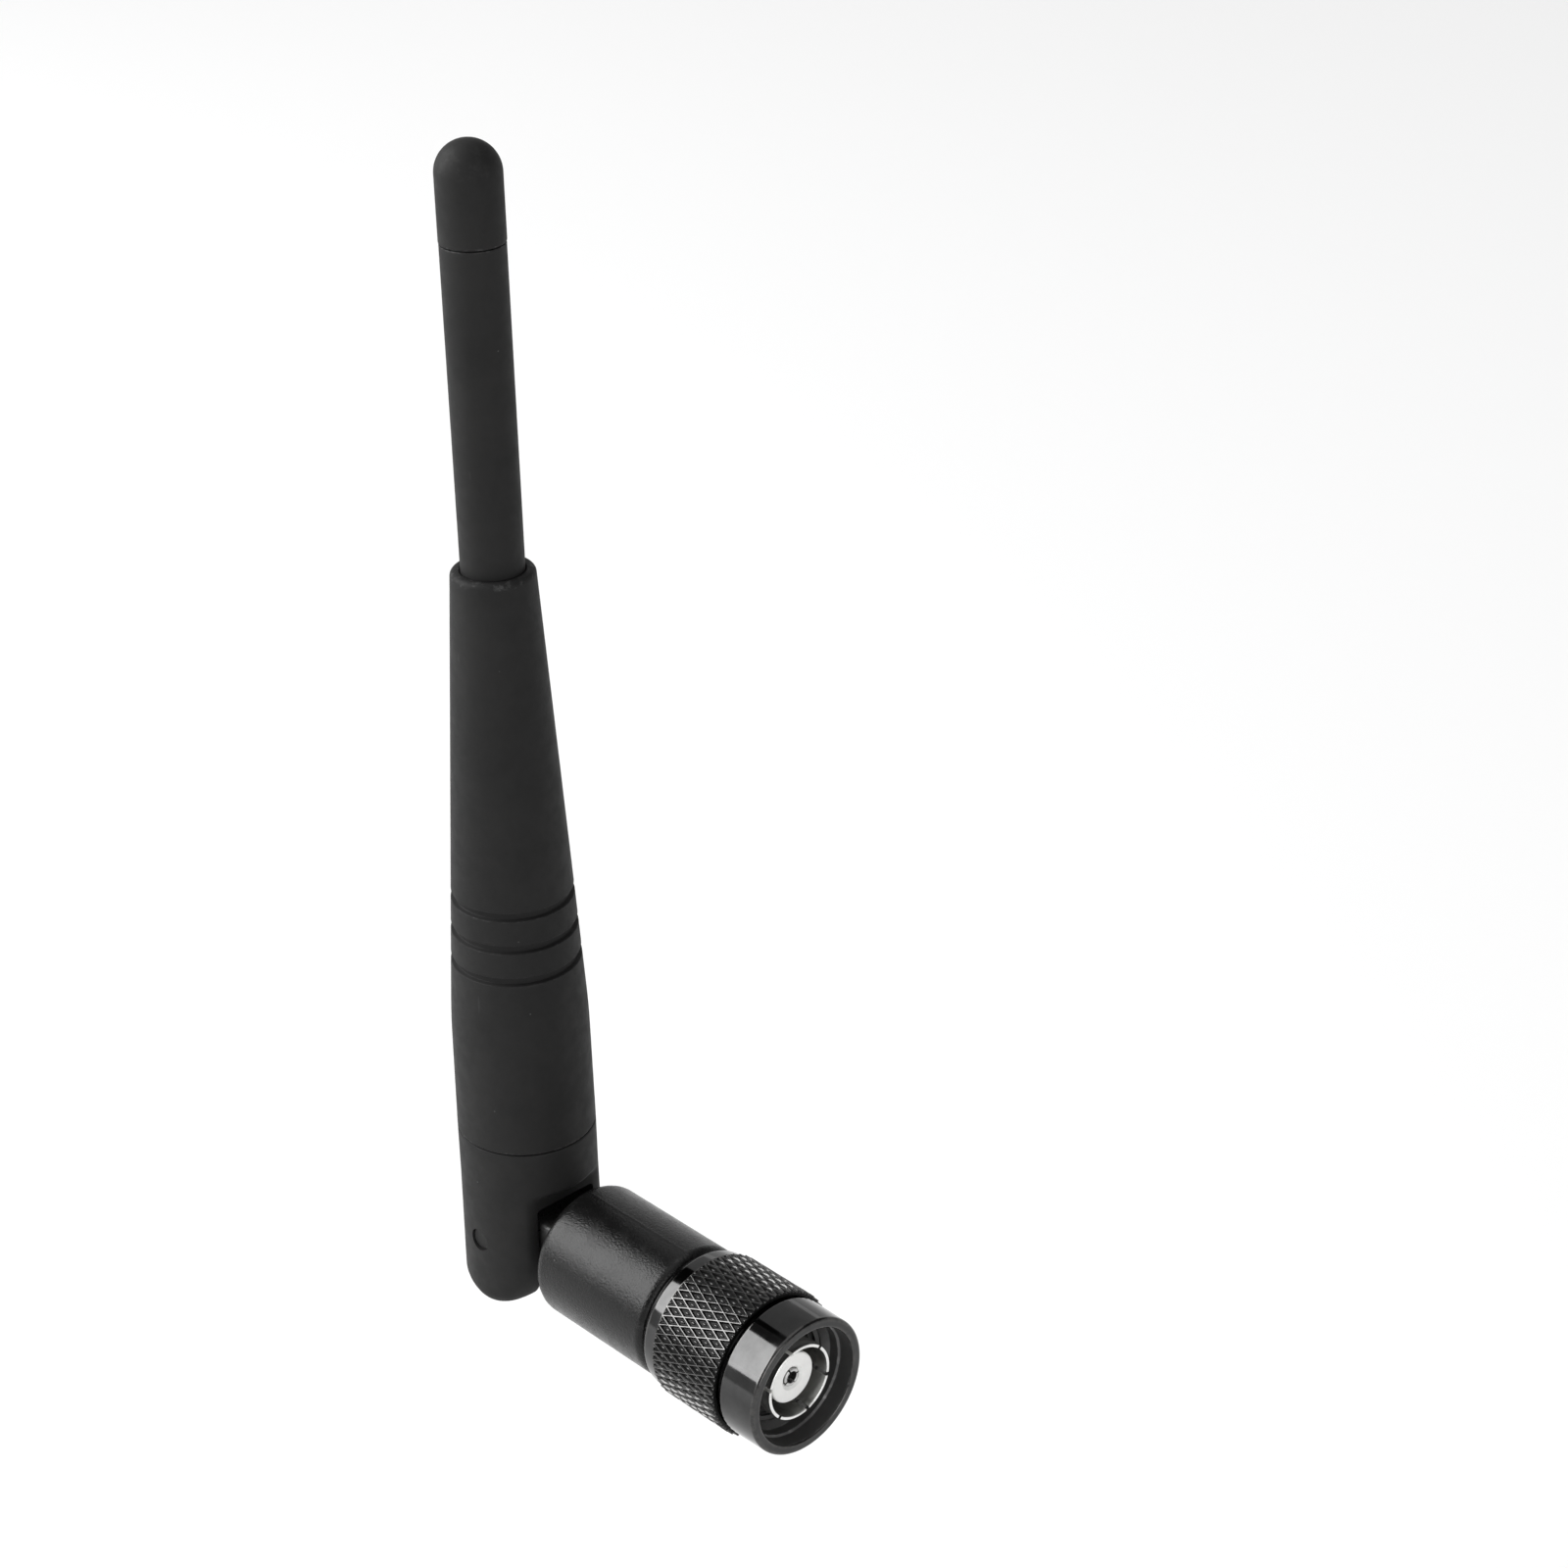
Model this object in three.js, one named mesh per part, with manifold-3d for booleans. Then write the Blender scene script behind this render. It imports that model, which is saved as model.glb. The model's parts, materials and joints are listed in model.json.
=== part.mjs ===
// Articulated sleeve-dipole antenna with a reverse-polarity TNC plug.
// Millimetres. +Z runs up the mast and +X runs out of the connector. The hinge axis is Y.
// Every length is worked out from the hinge, then the whole antenna is moved so that the
// origin is the centre of the connector's sealing plane, where a jack's face seats.

import * as THREE from 'three';
import { mergeVertices } from 'three/addons/utils/BufferGeometryUtils.js';
import Module from 'manifold-3d';

const wasm = await Module();
wasm.setup();

// ---------------------------------------------------------------- driving dimensions

const FIT = 0.1;                  // gap between pieces that are pressed or glued together
const RUN = 0.06;                 // radial running gap of the pieces that turn
const SMOOTH = 48;                // facets around a large turned piece
const MIDDLE = 36;                // facets around a middling turned piece
const FINE = 24;                  // facets around a small turned piece
const COARSE = 12;                // facets around the lead's core
const BEYOND = 1;                 // how far a cutting tool reaches past what it cuts

// mast, measured up from the hinge axis
const MAST_R = 7.3;               // radius at the knuckle seam
const SEAM_Z = 12.0;              // knuckle meets sheath
const CONE_Z = 25.5;              // the sheath starts to narrow
const CONE_R = 7.15;
const SHOULDER_Z = 75.6;          // the sheath ends in a rounded shoulder
const SHOULDER_R = 4.2;
const SHOULDER_ROUND = 0.6;
const SHEATH_WALL = 1.6;
const GROOVES = 3;
const GROOVE_Z = 32.7;            // lowest groove
const GROOVE_PITCH = 3.65;
const GROOVE_HALF = 0.46;
const GROOVE_DEPTH = 0.42;

const TUBE_R = 3.17;
const TUBE_BORE_R = 2.35;
const TUBE_SEAT_Z = 60.3;         // the whip tube stands on a ledge inside the sheath
const TUBE_TOP_Z = 108.5;
const LEDGE_R = 2.6;
const LEDGE_THICK = 1.6;
const CAP_R = 3.21;
const CAP_SPIGOT_R = 2.25;
const CAP_SPIGOT_LENGTH = 4.5;
const CAP_CENTRE_Z = 115.1;       // centre of the domed end
const CAP_BORE_R = 1.5;
const DOME_STEPS = 8;

// knuckle at the foot of the mast
const KNUCKLE_FOOT_R = 7.5;
const KNUCKLE_STRAIGHT_Z = 6.0;   // above this the knuckle has the mast's radius
const KNUCKLE_FOOT_Z = -8.25;
const HEEL_ROUND = 2.5;           // lower corner at the back
const TOE_ROUND = 7.6;            // lower corner on the connector's side
const TOE_CENTRE_X = -0.6;
const EAR_FACE_X = 5.73;          // flat cut that faces the barrel
const EAR_SHOULDER_Z = 6.6;
const EAR_SHOULDER_ROUND = 1.0;
const SLOT_HALF = 3.85;           // half of the slot between the two ears
const SLOT_BACK_X = -4.6;
const SLOT_TOP_Z = 4.7;
const SPIGOT_TOP_Z = 18.0;
const SPIGOT_R = 5.75;
const LEAD_WAY_R = 1.6;
const GROMMET_R = 2.6;
const GROMMET_Z = 13.0;

// hinge
const PIN_R = 1.2;
const PIN_INNER_Y = 1.85;
const PIN_OUTER_Y = 7.05;
const TONGUE_HALF_Y = 3.6;
const TONGUE_HALF_Z = 3.2;
const TONGUE_SLOT_HALF = 1.55;
const TONGUE_SLOT_X1 = 3.6;       // the lead's slot ends in front of the barrel

// barrel, measured out from the hinge axis
const BARREL_R = 7.4;
const BARREL_X0 = 8.9;
const BARREL_X1 = 25.9;
const BARREL_EDGE = 1.2;          // rounding at the knuckle's end
const BARREL_NOSE = 1.0;          // rounding at the nut's end
const BARREL_END_WALL = 1.5;
const BARREL_BORE_R = 5.6;
const TONGUE_HOLE_R = 4.95;
const SHANK_X1 = 15.8;
const SHANK_BORE_R = 2.75;
const BUSH_X0 = 17.4;
const BUSH_X1 = 25.6;
const NECK_R = 4.0;

// connector, measured out from the hinge axis
const NECK_X0 = 16.0;             // the shell's neck carries the barrel
const RING_X0 = 16.6;             // retaining ring behind the bush
const RING_THICK = 0.55;
const RING_R = 4.9;
const RING_GROOVE_R = 3.5;
const RING_GAP = 2.4;
const O_RING_X = 21.7;
const O_RING_WIRE_R = 0.5;
const O_RING_PLAY = 0.1;          // the groove's spare width at each side of the O-ring
const O_RING_SHADOW = 0.03;       // gap between the O-ring and the barrel's bush
const STEM_X0 = 11.6;             // crimp stem at the back of the shell
const STEM_R = 1.75;
const STEM_BORE_R = 0.95;
const FERRULE_X0 = 10.4;
const FERRULE_X1 = 15.6;
const FERRULE_R = 2.5;
const FERRULE_BRAID = 0.2;        // room for the braid between stem and ferrule
const NUT_SEAT_X0 = 26.0;
const NUT_SEAT_R = 4.55;
const SNAP_X0 = 28.0;
const SNAP_THICK = 0.6;
const SNAP_R = 5.5;
const SNAP_GROOVE_R = 4.1;
const SNAP_GAP = 2.0;
const SHELL_FRONT_X = 33.9;
const SHELL_FRONT_R = 5.0;
const GASKET_THICK = 1.1;
const CONTACT_X0 = 31.0;
const CONTACT_X1 = 41.4;
const CONTACT_R = 4.18;
const CONTACT_BORE_R = 3.8;
const CONTACT_SLOTS = 6;
const CONTACT_SLOT_WIDTH = 0.4;
const CONTACT_SLOT_X0 = 36.4;
const CONTACT_SLOT_TURN = 15;     // degrees from the vertical to the first slot
const CONTACT_STEP = 0.4;         // the thin fingers start this far behind their slots
const INSULATOR_X0 = 22.3;
const INSULATOR_X1 = 40.36;
const INSULATOR_R = 2.8;
const INSULATOR_BORE_R = 1.06;
const SOCKET_X0 = 23.5;
const SOCKET_X1 = 40.3;
const SOCKET_R = 1.0;
const SOCKET_HOLE_R = 0.64;
const SOCKET_HOLE_DEPTH = 5.0;
const CORE_POCKET = 3.0;          // depth of the socket's rear hole for the lead's core

// coupling nut, measured out from the hinge axis
const NUT_X0 = 26.15;
const NUT_X1 = 42.5;
const NUT_FLANGE_R = 7.35;
const NUT_R = 7.5;
const KNURL_R = 8.0;
const KNURL_X0 = 28.3;
const KNURL_X1 = 37.2;
const NUT_GROOVE_R = 7.05;
const NUT_GROOVE_WIDTH = 0.6;
const NUT_WALL_X1 = 27.9;
const NUT_RELIEF_R = 5.75;
const THREAD_MINOR_R = 5.15;
const THREAD_X0 = 31.0;
const THREAD_X1 = 38.4;
const NUT_MOUTH_R = 6.44;
const NUT_RIM = 0.3;              // chamfer of the front edge
const FLANGE_BULGE = 0.7;         // share of the flange's growth that is reached half way along it
const THREAD_LEAD_IN = 0.4;

// coaxial lead and dipole
const LEAD_R = 1.25;
const BEND_R = 3.3;
const DIELECTRIC_R = 0.76;
const CORE_R = 0.26;
const CORE_HOLE_R = 0.34;
const CORE_IN_RADIATOR = 1.5;
const BEND_STEPS = 10;
const SLEEVE_R = 1.9;
const SLEEVE_BORE_R = 1.55;
const SLEEVE_Z0 = 56.5;
const FEED_Z = 84.6;              // top of the sleeve, where the dipole is fed
const COLLAR_LENGTH = 1.2;
const BEAD_GAP = 0.4;
const BEAD_LENGTH = 1.2;
const RADIATOR_R = 0.9;
const RADIATOR_Z1 = 113.5;
const SPACER_R = 2.25;
const SPACER_LENGTH = 3.0;
const UPPER_SPACER_Z = 99.0;
const LOWER_SPACER_Z = 64.0;

const MATING_X = SHELL_FRONT_X + GASKET_THICK;

// ---------------------------------------------------------------- materials

function material(name, color, roughness, metalness) {
  const made = new THREE.MeshStandardMaterial({ color, roughness, metalness });
  made.name = name;
  return made;
}

const blackPlastic = () => material('black_plastic', 0x2c2c2d, 0.55, 0.0);
const satinBlackPlastic = () => material('satin_black_plastic', 0x262627, 0.42, 0.0);
const blackPlating = () => material('black_plating', 0x18181a, 0.2, 0.9);
const nickel = () => material('nickel', 0xb9b9b6, 0.25, 1.0);
const brass = () => material('brass', 0xb58f4a, 0.35, 1.0);
const copper = () => material('copper', 0xb87048, 0.35, 1.0);
const steel = () => material('steel', 0x8f9193, 0.35, 1.0);
const blackenedSteel = () => material('blackened_steel', 0x28282a, 0.45, 0.6);
const whitePtfe = () => material('white_ptfe', 0xe9e8e4, 0.5, 0.0);
const blackRubber = () => material('black_rubber', 0x1b1b1b, 0.8, 0.0);
const brownJacket = () => material('brown_jacket', 0x6a4a34, 0.45, 0.0);

// ---------------------------------------------------------------- shape helpers

const UP = 'z';
const OUT = 'x';

function pt(radius, station) {
  return new THREE.Vector2(radius, station);
}

// Points of an arc in the (radius, station) plane, angles in degrees.
function arcPoints(centreRadius, centreStation, radius, fromDegrees, toDegrees, steps) {
  const points = [];
  for (let i = 0; i <= steps; i += 1) {
    const angle = THREE.MathUtils.degToRad(fromDegrees + ((toDegrees - fromDegrees) * i) / steps);
    points.push(pt(centreRadius + radius * Math.cos(angle), centreStation + radius * Math.sin(angle)));
  }
  return points;
}

// Lathe whose profile runs up its outside and, for a ring, back down its inside.
function turned(profile, along, segments = SMOOTH) {
  const geometry = new THREE.LatheGeometry(profile, segments);
  if (along === UP) {
    geometry.rotateX(Math.PI / 2);
  } else {
    geometry.rotateZ(-Math.PI / 2);
  }
  return geometry;
}

function rod(radius, from, to, along, segments = FINE) {
  return turned([pt(0, from), pt(radius, from), pt(radius, to), pt(0, to)], along, segments);
}

function ring(inner, outer, from, to, along, segments = FINE) {
  const profile = [pt(inner, from), pt(outer, from), pt(outer, to), pt(inner, to), pt(inner, from)];
  return turned(profile, along, segments);
}

function block(x0, x1, y0, y1, z0, z1) {
  const geometry = new THREE.BoxGeometry(x1 - x0, y1 - y0, z1 - z0);
  geometry.translate((x0 + x1) / 2, (y0 + y1) / 2, (z0 + z1) / 2);
  return geometry;
}

// Rod along Y.
function crossRod(radius, y0, y1) {
  const geometry = new THREE.CylinderGeometry(radius, radius, y1 - y0, FINE);
  geometry.translate(0, (y0 + y1) / 2, 0);
  return geometry;
}

function toSolid(geometry) {
  const bare = geometry.clone();
  bare.deleteAttribute('normal');
  bare.deleteAttribute('uv');
  const merged = mergeVertices(bare, 1e-4);
  const index = merged.index.array;
  const triangles = [];
  for (let i = 0; i < index.length; i += 3) {
    const [a, b, c] = [index[i], index[i + 1], index[i + 2]];
    if (a !== b && b !== c && c !== a) {
      triangles.push(a, b, c);
    }
  }
  const mesh = new wasm.Mesh({
    numProp: 3,
    vertProperties: new Float32Array(merged.attributes.position.array),
    triVerts: new Uint32Array(triangles),
  });
  return new wasm.Manifold(mesh);
}

function fromSolid(solid) {
  const mesh = solid.getMesh();
  const geometry = new THREE.BufferGeometry();
  geometry.setAttribute('position', new THREE.BufferAttribute(new Float32Array(mesh.vertProperties), 3));
  geometry.setIndex(new THREE.BufferAttribute(new Uint32Array(mesh.triVerts), 1));
  geometry.computeVertexNormals();
  return geometry;
}

function cut(base, tools) {
  let solid = toSolid(base);
  for (const tool of tools) {
    solid = solid.subtract(toSolid(tool));
  }
  return fromSolid(solid);
}

function join(shapes) {
  let solid = toSolid(shapes[0]);
  for (const shape of shapes.slice(1)) {
    solid = solid.add(toSolid(shape));
  }
  return fromSolid(solid);
}

function common(first, second) {
  return fromSolid(toSolid(first).intersect(toSolid(second)));
}

function piece(name, geometry, look) {
  const mesh = new THREE.Mesh(geometry, look);
  mesh.name = name;
  return mesh;
}

// A split ring: a flat ring with a gap on its upper side.
function splitRing(inner, outer, from, to, gap) {
  const opening = block(from - BEYOND, to + BEYOND, -gap / 2, gap / 2, 0, outer + BEYOND);
  return cut(ring(inner, outer, from, to, OUT), [opening]);
}

// ---------------------------------------------------------------- mast

function sheathRadius(z) {
  if (z < CONE_Z) {
    return THREE.MathUtils.mapLinear(z, SEAM_Z, CONE_Z, MAST_R, CONE_R);
  }
  return THREE.MathUtils.mapLinear(z, CONE_Z, SHOULDER_Z, CONE_R, SHOULDER_R);
}

function taperedSheath() {
  const bottom = SEAM_Z + FIT;
  const profile = [pt(SPIGOT_R + FIT, bottom), pt(MAST_R, bottom), pt(CONE_R, CONE_Z)];
  for (let i = 0; i < GROOVES; i += 1) {
    const z = GROOVE_Z + i * GROOVE_PITCH;
    profile.push(pt(sheathRadius(z - GROOVE_HALF), z - GROOVE_HALF));
    profile.push(pt(sheathRadius(z) - GROOVE_DEPTH, z - GROOVE_HALF / 2));
    profile.push(pt(sheathRadius(z) - GROOVE_DEPTH, z + GROOVE_HALF / 2));
    profile.push(pt(sheathRadius(z + GROOVE_HALF), z + GROOVE_HALF));
  }
  const roundR = SHOULDER_R - SHOULDER_ROUND;
  profile.push(...arcPoints(roundR, SHOULDER_Z - SHOULDER_ROUND, SHOULDER_ROUND, 5, 90, 4));
  const tubeBore = TUBE_R + FIT;
  const ledgeZ = TUBE_SEAT_Z - FIT;
  const taperTop = ledgeZ - LEDGE_THICK;
  const taperFoot = SPIGOT_TOP_Z + FIT;
  profile.push(pt(tubeBore, SHOULDER_Z));
  profile.push(pt(tubeBore, ledgeZ));
  profile.push(pt(LEDGE_R, ledgeZ));
  profile.push(pt(LEDGE_R, taperTop));
  profile.push(pt(sheathRadius(taperTop) - SHEATH_WALL, taperTop));
  profile.push(pt(sheathRadius(CONE_Z) - SHEATH_WALL, CONE_Z));
  profile.push(pt(sheathRadius(taperFoot) - SHEATH_WALL, taperFoot));
  profile.push(pt(SPIGOT_R + FIT, taperFoot));
  profile.push(pt(SPIGOT_R + FIT, bottom));
  return piece('tapered_sheath', turned(profile, UP), blackPlastic());
}

function whipTube() {
  const geometry = ring(TUBE_BORE_R, TUBE_R, TUBE_SEAT_Z, TUBE_TOP_Z, UP, MIDDLE);
  return piece('whip_tube', geometry, blackPlastic());
}

function tipCap() {
  const rim = TUBE_TOP_Z + FIT;
  const foot = rim - CAP_SPIGOT_LENGTH;
  const profile = [
    pt(CAP_BORE_R, foot),
    pt(CAP_SPIGOT_R, foot),
    pt(CAP_SPIGOT_R, rim),
    pt(CAP_R, rim),
    ...arcPoints(0, CAP_CENTRE_Z, CAP_R, 0, 90, DOME_STEPS),
    pt(0, CAP_CENTRE_Z),
    pt(CAP_BORE_R, CAP_CENTRE_Z - CAP_BORE_R / 2),
    pt(CAP_BORE_R, foot),
  ];
  return piece('tip_cap', turned(profile, UP, MIDDLE), blackPlastic());
}

// Side outline of the knuckle in the XZ plane, drawn as (x, z).
function knuckleOutline() {
  const heelX = -KNUCKLE_FOOT_R + HEEL_ROUND;
  const toeZ = KNUCKLE_FOOT_Z + TOE_ROUND;
  const toeEnd = -Math.acos((EAR_FACE_X - TOE_CENTRE_X) / TOE_ROUND);
  const wide = MAST_R + BEYOND;
  const high = SEAM_Z + BEYOND;
  const outline = new THREE.Shape();
  outline.moveTo(-wide, high);
  outline.lineTo(-wide, 0);
  outline.lineTo(-KNUCKLE_FOOT_R, KNUCKLE_FOOT_Z + HEEL_ROUND);
  outline.absarc(heelX, KNUCKLE_FOOT_Z + HEEL_ROUND, HEEL_ROUND, Math.PI, 1.5 * Math.PI, false);
  outline.lineTo(TOE_CENTRE_X, KNUCKLE_FOOT_Z);
  outline.absarc(TOE_CENTRE_X, toeZ, TOE_ROUND, -Math.PI / 2, toeEnd, false);
  outline.lineTo(EAR_FACE_X, EAR_SHOULDER_Z - EAR_SHOULDER_ROUND);
  outline.absarc(
    EAR_FACE_X + EAR_SHOULDER_ROUND,
    EAR_SHOULDER_Z - EAR_SHOULDER_ROUND,
    EAR_SHOULDER_ROUND,
    Math.PI,
    Math.PI / 2,
    true,
  );
  outline.lineTo(wide, EAR_SHOULDER_Z);
  outline.lineTo(wide, high);
  outline.closePath();
  return outline;
}

// Plate across the whole width of the object, with the outline facing along Y.
function sidePlate(outline, halfWidth) {
  const geometry = new THREE.ExtrudeGeometry(outline, {
    depth: 2 * halfWidth,
    bevelEnabled: false,
    curveSegments: 10,
  });
  geometry.translate(0, 0, -halfWidth);
  geometry.rotateX(Math.PI / 2);
  return geometry;
}

function knuckleFork() {
  const foot = KNUCKLE_FOOT_Z - BEYOND;
  const wide = KNUCKLE_FOOT_R + BEYOND;
  const high = SPIGOT_TOP_Z + BEYOND;
  const profile = [
    pt(0, foot),
    pt(KNUCKLE_FOOT_R, foot),
    pt(MAST_R, KNUCKLE_STRAIGHT_Z),
    pt(MAST_R, SEAM_Z),
    pt(0, SEAM_Z),
  ];
  const post = turned(profile, UP);
  const body = join([
    common(post, sidePlate(knuckleOutline(), wide)),
    rod(SPIGOT_R, SEAM_Z - BEYOND, SPIGOT_TOP_Z, UP, SMOOTH),
  ]);
  const geometry = cut(body, [
    block(SLOT_BACK_X, wide, -SLOT_HALF, SLOT_HALF, foot, SLOT_TOP_Z),
    crossRod(PIN_R + RUN, -wide, wide),
    rod(LEAD_WAY_R, SLOT_TOP_Z - BEYOND, high, UP),
    rod(GROMMET_R + FIT, GROMMET_Z - FIT, high, UP),
  ]);
  return piece('knuckle_fork', geometry, blackPlastic());
}

function hingePin(name, side) {
  const [y0, y1] = [side * PIN_INNER_Y, side * PIN_OUTER_Y].sort((a, b) => a - b);
  return piece(name, crossRod(PIN_R, y0, y1), blackenedSteel());
}

function cableGrommet() {
  const geometry = ring(LEAD_R + FIT, GROMMET_R, GROMMET_Z, SPIGOT_TOP_Z, UP);
  return piece('cable_grommet', geometry, blackRubber());
}

function dipolePieces() {
  const beadZ = FEED_Z + BEAD_GAP;
  const radiatorZ = beadZ + BEAD_LENGTH + FIT;
  const collarZ = FEED_Z - COLLAR_LENGTH;
  const coreTop = radiatorZ + CORE_IN_RADIATOR;
  const radiator = cut(rod(RADIATOR_R, radiatorZ, RADIATOR_Z1, UP), [
    rod(CORE_HOLE_R, radiatorZ - BEYOND, coreTop + FIT, UP),
  ]);
  const spacer = (z, bore) => ring(bore + FIT, SPACER_R, z, z + SPACER_LENGTH, UP);
  const dielectric = ring(CORE_HOLE_R, DIELECTRIC_R, collarZ, beadZ + BEAD_LENGTH, UP);
  return [
    piece('coax_lead_mast', rod(LEAD_R, BEND_R + FIT, collarZ - FIT, UP), brownJacket()),
    piece('coax_dielectric_top', dielectric, whitePtfe()),
    piece('coax_core_top', rod(CORE_R, collarZ, coreTop, UP, COARSE), copper()),
    piece('sleeve_collar', ring(DIELECTRIC_R + FIT, SLEEVE_BORE_R - FIT, collarZ, FEED_Z, UP), copper()),
    piece('lower_sleeve', ring(SLEEVE_BORE_R, SLEEVE_R, SLEEVE_Z0, FEED_Z, UP), brass()),
    piece('feed_bead', ring(DIELECTRIC_R + FIT, SPACER_R, beadZ, beadZ + BEAD_LENGTH, UP), whitePtfe()),
    piece('upper_radiator', radiator, brass()),
    piece('radiator_spacer', spacer(UPPER_SPACER_Z, RADIATOR_R), whitePtfe()),
    piece('sleeve_spacer', spacer(LOWER_SPACER_Z, SLEEVE_R), whitePtfe()),
  ];
}

// ---------------------------------------------------------------- barrel

function barrelShell() {
  const wallEnd = BARREL_X0 + BARREL_END_WALL;
  const profile = [
    pt(TONGUE_HOLE_R, BARREL_X0),
    ...arcPoints(BARREL_R - BARREL_EDGE, BARREL_X0 + BARREL_EDGE, BARREL_EDGE, -90, 0, 5),
    ...arcPoints(BARREL_R - BARREL_NOSE, BARREL_X1 - BARREL_NOSE, BARREL_NOSE, 0, 90, 5),
    pt(BARREL_BORE_R, BARREL_X1),
    pt(BARREL_BORE_R, wallEnd),
    pt(TONGUE_HOLE_R, wallEnd),
    pt(TONGUE_HOLE_R, BARREL_X0),
  ];
  return piece('barrel_shell', turned(profile, OUT), satinBlackPlastic());
}

function hingeTongue() {
  const shankX0 = BARREL_X0 + BARREL_END_WALL + FIT;
  const shankR = BARREL_BORE_R - FIT;
  const blockX1 = shankX0 + BEYOND;
  const reach = TONGUE_HALF_Z + BEYOND;
  const body = join([
    crossRod(TONGUE_HALF_Z, -TONGUE_HALF_Y, TONGUE_HALF_Y),
    block(0, blockX1, -TONGUE_HALF_Y, TONGUE_HALF_Y, -TONGUE_HALF_Z, TONGUE_HALF_Z),
    rod(shankR, shankX0, SHANK_X1, OUT, MIDDLE),
  ]);
  const geometry = cut(body, [
    crossRod(PIN_R + RUN, -reach, reach),
    rod(LEAD_WAY_R, -reach, blockX1, OUT),
    rod(SHANK_BORE_R, BARREL_X0, SHANK_X1 + BEYOND, OUT),
    block(-reach, TONGUE_SLOT_X1, -TONGUE_SLOT_HALF, TONGUE_SLOT_HALF, -LEAD_WAY_R, reach),
  ]);
  return piece('hinge_tongue', geometry, blackPlastic());
}

function swivelBushing() {
  const geometry = ring(NECK_R + RUN, BARREL_BORE_R - FIT, BUSH_X0, BUSH_X1, OUT, SMOOTH);
  return piece('swivel_bushing', geometry, brass());
}

// Quarter circle that turns the lead from the barrel's axis up into the mast.
class QuarterBend extends THREE.Curve {
  getPoint(t, target = new THREE.Vector3()) {
    const angle = t * (Math.PI / 2);
    return target.set(BEND_R * (1 - Math.sin(angle)), 0, BEND_R * (1 - Math.cos(angle)));
  }
}

function leadBend() {
  const section = new THREE.Shape();
  section.absarc(0, 0, LEAD_R, 0, 2 * Math.PI, false);
  const geometry = new THREE.ExtrudeGeometry(section, {
    extrudePath: new QuarterBend(),
    steps: BEND_STEPS,
    curveSegments: BEND_STEPS,
  });
  return piece('coax_lead_bend', geometry, brownJacket());
}

// ---------------------------------------------------------------- connector

function connectorShell() {
  const oRingGroove = O_RING_WIRE_R + O_RING_PLAY;
  const oRingFloor = NECK_R + RUN - 2 * (O_RING_WIRE_R + O_RING_SHADOW);
  const snapEnd = SNAP_X0 + SNAP_THICK + FIT;
  const ringEnd = RING_X0 + RING_THICK + FIT;
  const contactBack = CONTACT_X0 - FIT;
  const profile = [
    pt(STEM_BORE_R, STEM_X0),
    pt(STEM_R, STEM_X0),
    pt(STEM_R, NECK_X0),
    pt(NECK_R, NECK_X0),
    pt(NECK_R, RING_X0 - FIT),
    pt(RING_GROOVE_R, RING_X0 - FIT),
    pt(RING_GROOVE_R, ringEnd),
    pt(NECK_R, ringEnd),
    pt(NECK_R, O_RING_X - oRingGroove),
    pt(oRingFloor, O_RING_X - oRingGroove),
    pt(oRingFloor, O_RING_X + oRingGroove),
    pt(NECK_R, O_RING_X + oRingGroove),
    pt(NECK_R, NUT_SEAT_X0),
    pt(NUT_SEAT_R, NUT_SEAT_X0),
    pt(NUT_SEAT_R, SNAP_X0 - FIT),
    pt(SNAP_GROOVE_R, SNAP_X0 - FIT),
    pt(SNAP_GROOVE_R, snapEnd),
    pt(SHELL_FRONT_R, snapEnd),
    pt(SHELL_FRONT_R, SHELL_FRONT_X),
    pt(CONTACT_R + FIT, SHELL_FRONT_X),
    pt(CONTACT_R + FIT, contactBack),
    pt(INSULATOR_R + FIT, contactBack),
    pt(INSULATOR_R + FIT, INSULATOR_X0 - FIT),
    pt(STEM_BORE_R, INSULATOR_X0 - FIT),
    pt(STEM_BORE_R, STEM_X0),
  ];
  return piece('connector_shell', turned(profile, OUT, SMOOTH), nickel());
}

function outerContact() {
  const slots = [];
  for (let i = 0; i < CONTACT_SLOTS / 2; i += 1) {
    const half = CONTACT_SLOT_WIDTH / 2;
    const reach = CONTACT_R + BEYOND;
    const slot = block(CONTACT_SLOT_X0, CONTACT_X1 + BEYOND, -half, half, -reach, reach);
    slot.rotateX(THREE.MathUtils.degToRad(CONTACT_SLOT_TURN + (i * 360) / CONTACT_SLOTS));
    slots.push(slot);
  }
  const seat = INSULATOR_R + FIT;
  const step = CONTACT_SLOT_X0 - CONTACT_STEP;
  const profile = [
    pt(seat, CONTACT_X0),
    pt(CONTACT_R, CONTACT_X0),
    pt(CONTACT_R, CONTACT_X1),
    pt(CONTACT_BORE_R, CONTACT_X1),
    pt(CONTACT_BORE_R, step),
    pt(seat, step),
    pt(seat, CONTACT_X0),
  ];
  return piece('outer_contact', cut(turned(profile, OUT, MIDDLE), slots), nickel());
}

function insulator() {
  const geometry = ring(INSULATOR_BORE_R, INSULATOR_R, INSULATOR_X0, INSULATOR_X1, OUT, MIDDLE);
  return piece('dielectric_insulator', geometry, whitePtfe());
}

function centreSocket() {
  const pocket = SOCKET_X0 + CORE_POCKET;
  const floor = SOCKET_X1 - SOCKET_HOLE_DEPTH;
  const profile = [
    pt(0, pocket),
    pt(CORE_HOLE_R, pocket),
    pt(CORE_HOLE_R, SOCKET_X0),
    pt(SOCKET_R, SOCKET_X0),
    pt(SOCKET_R, SOCKET_X1),
    pt(SOCKET_HOLE_R, SOCKET_X1),
    pt(SOCKET_HOLE_R, floor),
    pt(0, floor),
  ];
  return piece('centre_socket', turned(profile, OUT, MIDDLE), nickel());
}

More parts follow.
